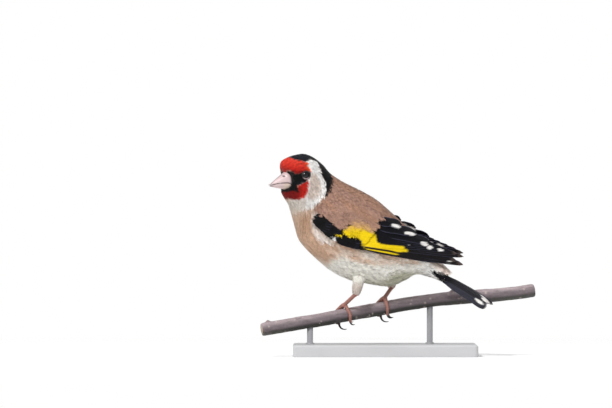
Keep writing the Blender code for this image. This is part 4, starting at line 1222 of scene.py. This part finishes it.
def make_wing(side, name, look, soft):
    """A folded wing: a thin dark core under its flight feathers and coverts."""
    rng = np.random.default_rng(DRAWS["wing"])
    pile = Pile()
    for k, (root, tip, width, stand_out, point, shaft, colouring) in enumerate(wing_feathers(side)):
        tip = (tip[0] + rng.uniform(-0.25, 0.25), tip[1] + rng.uniform(-0.06, 0.06))
        length = math.dist(root, tip)
        line = wing_line(side, root, tip, stand_out, 26 if length > LONG_FEATHER else 14)
        add_vane(pile, line, width, point, shaft, colouring, (k, 10, 10), length, rng)
    made = pile.build("wing_feathers_" + name, look)
    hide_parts("wing_" + name)
    finish(made)
    make_wing_core(side, name, soft)
    wing_tufts(side, name, soft)


def make_wing_core(side, name, look):
    """The dark core of a wing, brown where the mantle covers it."""
    face = wing_surface(side)
    across = 16
    rings = []
    for x in np.linspace(WING_FRONT, WING_CORE_END, 60):
        heights = np.linspace(smooth_values(WING_LOW, x) + 0.3, smooth_values(WING_TOP, x) - 0.3, across)
        depth = min(WING_DEPTH, 1.0 + 0.25 * (WING_CORE_END - x))
        xs = np.full(across, x)
        rings.append(np.concatenate([face(xs, heights, -0.5), face(xs, heights[::-1], -depth)]))
    points, triangles = closed_tube(rings)
    x, y, z = points.T
    hidden = 1 - ramp(depth_inside(WING_SHOWS, x, z), -0.8, 0.0)
    colours = painted(wing_marks(x, z, screen(FEATHER_BLACK)), (MANTLE_BROWN, hidden))
    places = np.clip(np.stack([(x + 40) / 60, (z - 45) / 60 + 0.5 * (np.abs(y) > 14)], -1), 0, 1)
    made = make_object("wing_core_" + name, look, points, triangles, colours, places,
                       along=np.full(len(points), 0.6))
    finish(made)


def wing_tufts(side, name, look):
    """Small soft black feathers over the bend of the wing, and the loose tips of the yellow ones."""
    rng = np.random.default_rng(DRAWS["bend"])
    face = wing_surface(side)

    def surface(x, z):
        return face(x, z, 1.3)

    def density(x, z):
        inside = (depth_inside(WING_SHOWS, x, z) > 0.0) & (z > smooth_values(WING_LOW, x) - 0.2)
        return np.where(inside & (x < -13 - 0.4 * (66 - z)), WING_BEND_DENSITY, 0.0)

    x, z = spread_evenly(surface, (-36.0, -8.0), (55.0, 71.0), (240, 160), density, rng)
    count = len(x)
    length = 2.3 * rng.uniform(0.85, 1.2, count)
    twist = rng.normal(0, 0.1, count) - 0.32
    strips = tuft_strips(surface, x, z, length, length * 0.5, rng, 4, 0.5, 0.1, twist, -side)
    shift = rng.normal(0, 0.25, (2, count))
    marks = wing_marks(x + 0.6 * length + shift[0], z - 0.2 * length + shift[1], screen(BLACK))
    tone = rng.normal(1.0, 0.12, (*strips[2].shape[:2], 1, 1))
    colours = np.clip(marks[:, None, None, :] * tone, 0, 1)
    pile = Pile()
    add_strips(pile, strips, colours, (x + 40) / 50, (z - 50) / 30, -side)
    finish(pile.build("feathers_wing_" + name, look))


def rotation(axis, angle):
    """The matrix of a turn about an axis."""
    c, s = math.cos(angle), math.sin(angle)
    a, b = {"X": (1, 2), "Y": (2, 0), "Z": (0, 1)}[axis]
    made = np.eye(3)
    made[a, a] = made[b, b] = c
    made[a, b], made[b, a] = -s, s
    return made


def make_tail(look):
    """Twelve tail feathers, the middle pair on top, with white spots near their tips."""
    rng = np.random.default_rng(DRAWS["tail"])
    turn = rotation("Z", TAIL_SWING) @ rotation("Y", TAIL_DROP) @ rotation("X", TAIL_ROLL)
    near, root_step, tip_step = TAIL_SPREAD
    pile = Pile()
    f = np.linspace(0, 1, 30)
    for pair in reversed(range(TAIL_PAIRS)):
        for side in (-1, 1):
            far = side > 0
            length = TAIL_LENGTH - TAIL_FORK * (1 - pair / (TAIL_PAIRS - 1)) + rng.uniform(-0.3, 0.3)
            length -= 1.6 * (not far) * pair / (TAIL_PAIRS - 1)
            across = side * (near + pair * (root_step + (tip_step - root_step) * f) + 0.5 * f)
            up = TAIL_STEP * (TAIL_PAIRS / 2 - pair) + 0.06 * far - 0.5 * f * f - 1.5 * far * f ** 3
            middle = np.array(TAIL_ROOT) + np.stack([length * f, across, up], -1) @ turn.T
            lean = side * TAIL_LEAN
            flat = np.broadcast_to(turn @ (0, math.cos(lean), -math.sin(lean)), middle.shape)
            out = np.broadcast_to(turn @ (0, math.sin(lean), math.cos(lean)), middle.shape)
            add_vane(pile, (middle, flat, out), TAIL_FEATHER_WIDTH, TAIL_TIP, side * TAIL_SHAFT,
                     tail_paint(turn), (2 * pair + far, 4, 3), length, rng)
    made = pile.build("tail_feathers", look)
    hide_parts("tail")
    finish(made)


# Head pieces


def bill_heights(ahead):
    """Heights of the culmen, the line of the mouth and the lower edge at places along the bill."""
    f = np.maximum((BILL_TIP - ahead) / (BILL_TIP - BILL_BASE), 0.0)
    culmen = BILL_TIP_Z + (CULMEN_BASE_Z - BILL_TIP_Z) * f ** 0.94
    g = np.clip(f, 0.0, 1.0)
    mouth = BILL_TIP_Z + (MOUTH_MID_Z - BILL_TIP_Z) * np.sin(g * math.pi / 2)
    h = np.clip((BILL_BASE - ahead) / (BILL_BASE - GAPE_AHEAD), 0.0, 1.3)
    mouth = mouth + (GAPE_Z - MOUTH_MID_Z) * h * h
    lower = BILL_TIP_Z - 0.15 + (CHIN_Z - BILL_TIP_Z) * g ** 0.75
    half_width = np.maximum(BILL_HALF_WIDTH * f ** 0.8, 0.22)
    return np.minimum(culmen, CULMEN_BASE_Z + 0.5), mouth, lower, half_width


def make_bill_half(name, upper, look):
    """The upper or the lower half of the bill, with its edge, its ridge and, above, the nostrils."""
    steps, arch = 60, 36
    f = np.linspace(0, 1, steps)
    ahead = BILL_ROOT + (BILL_TIP - BILL_ROOT) * (1 - (1 - f) ** 1.25)
    if not upper:
        ahead = np.minimum(ahead, BILL_TIP - LOWER_BILL_SHORTER + f * 0.2)
    culmen, mouth, lower, half = bill_heights(ahead)
    half = half * (1.0 if upper else LOWER_BILL_SHARE)
    edge = mouth + (MOUTH_GAP / 2 if upper else -MOUTH_GAP / 2)
    reach = np.maximum(culmen - edge, 0.3) if upper else -np.maximum(edge - lower, 0.3)
    turn = np.linspace(0, math.pi, arch)
    rise = np.sin(turn) ** 0.85
    a = np.broadcast_to(ahead[:, None], (steps, arch))
    s = half[:, None] * np.cos(turn)
    z = edge[:, None] + reach[:, None] * rise
    marks = [(BILL_WARM, 0.45 * ramp(16.5 - a, 0.0, 3.0))]
    if upper:
        away = np.hypot((a - NOSTRIL_AHEAD) / 1.5, z - (MOUTH_MID_Z + NOSTRIL_UP))
        for side in (-1, 1):
            s = s - side * NOSTRIL_DEPTH * np.exp(-(away / NOSTRIL_R) ** 2) * (s * side > 0)
        marks = [(BILL_RIDGE, ramp(rise, 0.90, 1.0) * 0.75 * ramp(a, 13.0, 16.0)),
                 (NOSTRIL_DARK, ramp(NOSTRIL_R * 1.1 - away, 0.0, 0.3))]
    rings = np.concatenate([on_head(a, s, z), on_head(ahead, 0.0 * ahead, edge)[:, None]], 1)
    points, triangles = closed_tube(rings)
    colours = painted(screen(BILL_PINK), *marks,
                      (BILL_TIP_GREY, ramp(a, BILL_TIP - 3.2, BILL_TIP - 0.2) * 0.8),
                      (BILL_EDGE, 0.5 * ramp(0.16 - rise, 0.0, 0.16)),
                      (GAPE_DARK, ramp(12.4 - a, 0.0, 1.2)))
    inside = np.broadcast_to(screen(MOUTH_INSIDE), (steps, 1, 3))
    colours = np.concatenate([colours, inside], 1).reshape(-1, 3)
    colours = np.concatenate([colours, screen([GAPE_DARK, BILL_TIP_GREY])])
    made = make_object(name, look, points, triangles, colours)
    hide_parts(name)
    finish(made)


def make_eye(side, name, look):
    """An eyeball with its iris facing out."""
    centre, out = eye_line(side, EYE_AHEAD, EYE_OUT)
    across = unit(np.cross(out, (0.0, 0.0, 1.0)))
    rows, columns = 40, 64
    lat = np.linspace(0.02, math.pi - 0.02, rows)
    lon = np.linspace(0, 2 * math.pi, columns, endpoint=False)
    reach = (EYE_R * (1 + 0.05 * np.exp(-(lat / 0.6) ** 2)))[:, None, None]
    spoke = np.cos(lon)[:, None] * across + np.sin(lon)[:, None] * np.cross(across, out)
    rings = centre + reach * (np.sin(lat)[:, None, None] * spoke + np.cos(lat)[:, None, None] * out)
    points, triangles = closed_tube(rings)
    outness = np.append(np.repeat(np.clip(lat / 1.05, 0, 1), columns), [0.0, 1.0])
    eye = make_object("eye_" + name + "_ball", look, points, triangles, out=outness)
    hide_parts("eye_" + name)
    finish(eye)


def make_lids(side, name, look):
    """The bare rim of the lids round an eye."""
    centre = on_head(LID_AHEAD, side * LID_OUT, EYE_Z)
    out = eye_line(side, EYE_AHEAD, EYE_OUT)[1]
    across = unit(np.cross(out, (0.0, 0.0, 1.0)))
    up = np.cross(across, out)
    columns, thick = 64, 12
    lon = np.linspace(0, 2 * math.pi, columns, endpoint=False)
    b = 2 * math.pi * np.arange(thick) / thick
    rings = []
    for a in lon:
        size = LID_THICK * (1.0 + 0.12 * math.sin(9 * a))
        reach = LID_R * (1 - 0.08 * math.sin(a) ** 2) + size * np.cos(b)
        ray = math.cos(a) * across + math.sin(a) * up
        rings.append(centre + ray * reach[:, None] + out * (1.2 * size * np.sin(b))[:, None] - out * 0.15)
    points = np.concatenate(rings)
    middle = np.repeat(np.mean(rings, 1), thick, 0)
    triangles = grid_triangles(columns, thick, True)
    a, b, c = (points[triangles[:, k]] for k in range(3))
    outward = np.einsum("ij,ij->i", a - middle[triangles[:, 0]], np.cross(b - a, c - a)).sum() > 0
    low = np.repeat(ramp(-np.sin(lon), 0.35, 0.95), thick)
    made = make_object("lids_" + name, look, points, triangles if outward else triangles[:, ::-1],
                       painted(screen(LID_DARK), (LID_PALE, low * 0.7)))
    finish(made)


# Legs, perch and stand


def perch_middle(x):
    """The perch's middle at x."""
    x = np.asarray(x, float)
    return np.stack([x, (x - PERCH_CROSSES_Y_AT) * PERCH_RECEDE, smooth_values(PERCH_LINE, x)], -1)


def toe_line(foot_x, turn_end, drift, steps):
    """A toe's middle line and radius: over the perch's top and round it by an angle, drifting along it."""
    f = np.linspace(0, 1, steps)
    radius = TOE_ROOT_R + (TOE_TIP_R - TOE_ROOT_R) * f
    centre = perch_middle(foot_x + drift * np.minimum(0.08 + 1.5 * f, 1.0))
    turn = math.radians(turn_end) * f
    reach = PERCH_R + LEG_GAP * 0.5 + radius + 0.5 * (1 - f) ** 4
    pads = 1 + 0.12 * np.sin(f * math.pi * 3.5) ** 2
    return centre + np.stack([0 * f, reach * np.sin(turn), reach * np.cos(turn)], -1), radius, pads


def leg_colours(dark, sides):
    """Pinkish brown skin, darker by a share for each ring."""
    colours = painted(screen(SKIN_PINK), (SKIN_DARK, np.broadcast_to(dark[:, None], (len(dark), sides))))
    return np.concatenate([colours.reshape(-1, 3), colours[0, :1], colours[-1, :1]])


def scuted_tube(path, radii, sides, plates):
    """A tube whose front carries overlapping plates, as steps in its radius, and how dark each ring is."""
    saw = (np.linspace(0, 1, len(path)) * plates) % 1.0
    step = PLATE_STEP * (saw ** 2 - 0.4)
    around = np.cos(2 * math.pi * np.arange(sides) / sides) * 0.5 + 0.5
    sizes = radii[:, None] * (1 + step[:, None] * around ** 0.5)
    return *closed_tube(tube_rings(path, sizes, sides)), 0.75 * ramp(np.abs(saw - 0.5), 0.38, 0.5)


def make_leg(side, leg, look, claw_look):
    """A scaly shank, and a foot whose toes go round the branch and end in claws."""
    heel, foot = np.array(leg["heel"]), np.array(leg["foot"])
    f = np.linspace(0, 1, 90)
    start = heel - unit(foot - heel) * 1.2
    path = start + (foot - start) * f[:, None]
    radii = SHANK_R * (1.0 + 0.28 * np.exp(-((f - 0.1) / 0.1) ** 2) + 0.2 * ramp(f, 0.85, 1.0))
    points, triangles, dark = scuted_tube(path, radii, 18, SHANK_PLATES)
    shank = make_object("leg_" + side, look, points, triangles, leg_colours(dark * 0.7, 18))
    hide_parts("shank_" + side)
    finish(shank)
    pile = Pile()
    lat = np.linspace(0.05, math.pi - 0.05, 16)[:, None]
    lon = np.linspace(0, 2 * math.pi, 24, endpoint=False)
    ball = np.stack([np.cos(lat) + 0 * lon, np.sin(lat) * np.cos(lon), np.sin(lat) * np.sin(lon)], -1)
    points, triangles = closed_tube(foot + ball * np.array((FOOT_R * 1.2, FOOT_R, FOOT_R * 0.8)))
    pile.add(points, triangles, colours=leg_colours(np.zeros(16), 24))
    for name, turn, drift, long in TOES[side]:
        path, radius, pads = toe_line(foot[0], turn, drift, 56)
        points, triangles, dark = scuted_tube(path, radius * pads, 14, TOE_PLATES)
        pile.add(points, triangles, colours=leg_colours(dark * 0.8, 14))
        make_claw("claw_" + side + "_" + name, path, radius[-1], long, claw_look)
    made = pile.build("toes_" + side, look)
    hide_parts("foot_" + side)
    finish(made)


def make_claw(name, toe, root, length, look):
    """A claw that goes on from the end of a toe and curls down, then towards +X."""
    ahead = unit(toe[-1] - toe[-3])
    steps = 30
    spot = toe[-1] - ahead * 0.2
    spots, sizes = [], []
    for f in np.arange(steps + 1) / steps:
        spots.append(spot)
        sizes.append(root * 0.95 * (1 - f) ** 0.8 + CLAW_TIP_R * f)
        fall = np.array((0, 0, -1.0)) * (1.1 * (1 - f))
        along = np.array((1.0, 0, 0.25)) * (0.25 + 0.9 * f)
        spot = spot + unit(ahead * (1 - f) ** 2 + fall + along) * (length + 0.4) / steps
    points, triangles = closed_tube(tube_rings(spots, sizes, 12))
    f = np.append(np.repeat(np.linspace(0, 1, steps + 1), 12), [0, 1])
    colours = painted(screen(CLAW_ROOT), (CLAW_END, ramp(f, 0.05, 0.4)))
    made = make_object(name + "_horn", look, points, triangles, colours)
    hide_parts(name)
    finish(made)


def bark_pores(x, a, rng):
    """Shares of raised pores, scattered over the branch."""
    pores = np.zeros_like(x)
    for _ in range(PORE_COUNT):
        at_x, at_a = rng.uniform(-60, 74), rng.uniform(0, 2 * math.pi)
        long, wide = rng.uniform(0.25, 0.5), rng.uniform(0.3, 0.8)
        off = np.angle(np.exp(1j * (a - at_a))) * PERCH_R
        pores = np.maximum(pores, np.exp(-((x - at_x) / long) ** 2 - (off / wide) ** 2))
    return pores


def make_perch(look):
    """The cut branch: uneven round bark with raised pores, a bud and a scar, and a sawn face at each end."""
    rows, sides = 420, 72
    xs = np.linspace(PERCH_LINE[0][0], PERCH_LINE[-1][0], rows)
    x, a = np.meshgrid(xs, 2 * math.pi * np.arange(sides) / sides, indexing="ij")
    around, other = np.cos(a) * 3.0 + 40, np.sin(a) * 3.0 + 40
    rough = (wave_noise(x * 0.12 + 40, around + other * 0.5, 5) - 0.5) * 0.30
    rough += (wave_noise(x * 0.55 + 40, other * 2.0, 6) - 0.5) * 0.10
    rough += (wave_noise(x * 0.3 + 40, around * 5.0 + other * 3.0, 7) - 0.5) * 0.08
    pores = bark_pores(x, a, np.random.default_rng(DRAWS["bark"]))
    middle = perch_middle(xs)
    spokes = tube_rings(middle, np.full(rows, 1.0), sides) - middle[:, None]
    up = spokes[..., 2]
    knobs = np.zeros_like(x)
    for at_x, size, high in BARK_KNOBS:
        knobs += high * np.exp(-((x - at_x) / size) ** 2) * ramp(up, 0.78, 1.0)
    radius = PERCH_R - 0.08 + np.minimum(rough, 0.14) + 0.10 * pores + knobs
    edge = np.minimum(xs - xs[0], xs[-1] - xs)
    radius = radius * (1 - 0.10 * np.exp(-edge / 0.35))[:, None]
    points, triangles = closed_tube(middle[:, None] + spokes * radius[..., None])
    patches = wave_noise(x * 0.25 + 3, around * 1.4 + other, 12)
    colours = painted(
        screen(BARK),
        # Painted light over the top of the branch and painted shade under it
        (BARK_TOP_LIGHT, 0.9 * ramp(up, 0.1, 0.95)),
        (BARK_UNDER_SHADE, 0.92 * ramp(-up, 0.0, 0.6)),
        (BARK_GREEN, 0.4 * ramp(-up, 0.3, 0.9) * wave_noise(x * 0.15 + 9, around, 8)),
        (BARK_PATCH, 0.35 * ramp(patches, 0.62, 0.82)),
        (BARK_PORE, 0.55 * pores),
        (BARK_KNOB, np.clip(knobs, 0, 1) * 0.8))
    colours = np.concatenate([colours.reshape(-1, 3), screen([SAWN, SAWN])])
    made = make_object("branch", look, points, triangles, colours)
    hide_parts("perch")
    finish(made)


def make_stand(look, rod_look):
    """A flat base with a rounded upper edge, and two short rods up to the branch."""
    half_x, half_y, high = BASE_SIZE[0] / 2, BASE_SIZE[1] / 2, BASE_SIZE[2]
    profile = [(0.0, 0.25), (0.25, 0.0), (high - BASE_EDGE, 0.0)]
    profile += [(high - BASE_EDGE + BASE_EDGE * math.sin(a), BASE_EDGE * (1 - math.cos(a)))
                for a in np.linspace(0.1, math.pi / 2, 12)]
    rings = []
    for z, inset in profile:
        ring = []
        for k, (sx, sy) in enumerate(((1, 1), (-1, 1), (-1, -1), (1, -1))):
            for b in np.linspace(0, math.pi / 2, 10) + k * math.pi / 2:
                ring.append((sx * (half_x - BASE_CORNER) + (BASE_CORNER - inset) * math.cos(b),
                             sy * (half_y - BASE_CORNER) + (BASE_CORNER - inset) * math.sin(b), z))
        rings.append(ring)
    base = make_object("stand_plinth", look, *closed_tube(rings))
    base.data.polygons.foreach_set("use_smooth", np.zeros(len(base.data.polygons), bool))
    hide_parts("stand_base")
    finish(base)
    for name, x in ROD_XS.items():
        top = perch_middle(x)
        heights = (high - 0.2, high + 0.2, high + 0.8, high + 0.81, top[2] - PERCH_R * 0.6)
        path = np.array([(x, top[1], z) for z in heights])
        sizes = [ROD_R * share for share in ROD_FOOT_SHARES]
        rod = make_object(name + "_post", rod_look, *closed_tube(tube_rings(path, sizes, 40)))
        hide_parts(name)
        finish(rod)


# Floor, light and camera


def floor_material():
    """A white matt floor that fades into the white room away from the model."""
    look = new_look("floor")
    far = look.add("VectorMath", (), {0: look.add("TexCoord").outputs["Object"]}, operation="LENGTH")
    ends = {"From Min": FLOOR_FADE[0], "From Max": FLOOR_FADE[1], "To Min": 1.0, "To Max": 0.0}
    fade = look.add("MapRange", ends, {"Value": far.outputs["Value"]})
    look.join(look.nodes["Principled BSDF"], {"Roughness": 0.9, "Specular IOR Level": 0.0},
              {"Base Color": look.mixed(look.noise(9.0), *FLOOR_WHITES), "Alpha": fade.outputs["Result"]})
    return look.owner


def make_floor():
    """A plain floor under the model."""
    corners = [(sx * FLOOR_HALF, sy * FLOOR_HALF, 0) for sx, sy in ((-1, -1), (1, -1), (1, 1), (-1, 1))]
    make_object("floor", floor_material(), corners, [(0, 1, 2), (0, 2, 3)])


def area_light(name, place, target, size, power):
    """A round light that looks at a target."""
    light = bpy.data.lights.new(name, "AREA")
    light.shape = "DISK"
    light.size = size
    light.energy = power
    made = bpy.data.objects.new(name, light)
    bpy.context.scene.collection.objects.link(made)
    made.location = place
    way = made.location.copy()
    way[:] = [to - at for to, at in zip(target, place)]
    made.rotation_euler = way.to_track_quat("-Z", "Y").to_euler()


def make_light():
    """A white room, and two soft lights from the upper left and from above."""
    bpy.context.scene.world = bpy.data.worlds.new("studio")
    look = Look(bpy.context.scene.world)
    seen = look.scaled(look.add("LightPath").outputs["Is Camera Ray"], ROOM_LIGHT, 1.0)
    look.join(look.nodes["Background"], {"Color": (1.0, 1.0, 1.0, 1.0)}, {"Strength": seen})
    for light in LIGHTS:
        area_light(*light)


def make_camera():
    """A camera at the photo's angle, far away with a long lens."""
    lens = bpy.data.cameras.new("camera")
    lens.lens = CAMERA_LENS
    lens.sensor_width = CAMERA_SENSOR
    lens.clip_start = 0.01
    camera = bpy.data.objects.new("camera", lens)
    bpy.context.scene.collection.objects.link(camera)
    camera.location = (PICTURE_MIDDLE[0], -CAMERA_AWAY, PICTURE_MIDDLE[1])
    camera.rotation_euler = (math.pi / 2, 0, 0)
    bpy.context.scene.camera = camera


def main():
    """Builds every piece in order, then the floor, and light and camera."""
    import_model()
    soft, vanes, scaly = plumage_material(), vane_material(), skin_material()
    make_skin(soft)
    body_tufts(soft)
    for name, leg in LEGS.items():
        thigh_tufts(name, leg, soft)
    for side, name in SIDES:
        make_wing(side, name, vanes, soft)
    make_tail(vanes)
    horn = horn_material("bill", 0.85, 1.1, 0.28)
    make_bill_half("bill_upper", True, horn)
    make_bill_half("bill_lower", False, horn)
    eye_look = eye_material()
    for side, name in SIDES:
        make_eye(side, name, eye_look)
        make_lids(side, name, scaly)
    claw_look = horn_material("claw", 0.8, 1.2, 0.25)
    for side, leg in LEGS.items():
        make_leg(side, leg, scaly, claw_look)
    make_perch(bark_material())
    make_stand(painted_material("stand", STAND_GREY, 0.45, 0.6),
               painted_material("stand_rod", ROD_GREY, 0.3, 0.45))
    make_floor()
    make_light()
    make_camera()
    bpy.context.scene.view_settings.view_transform = "Standard"


main()
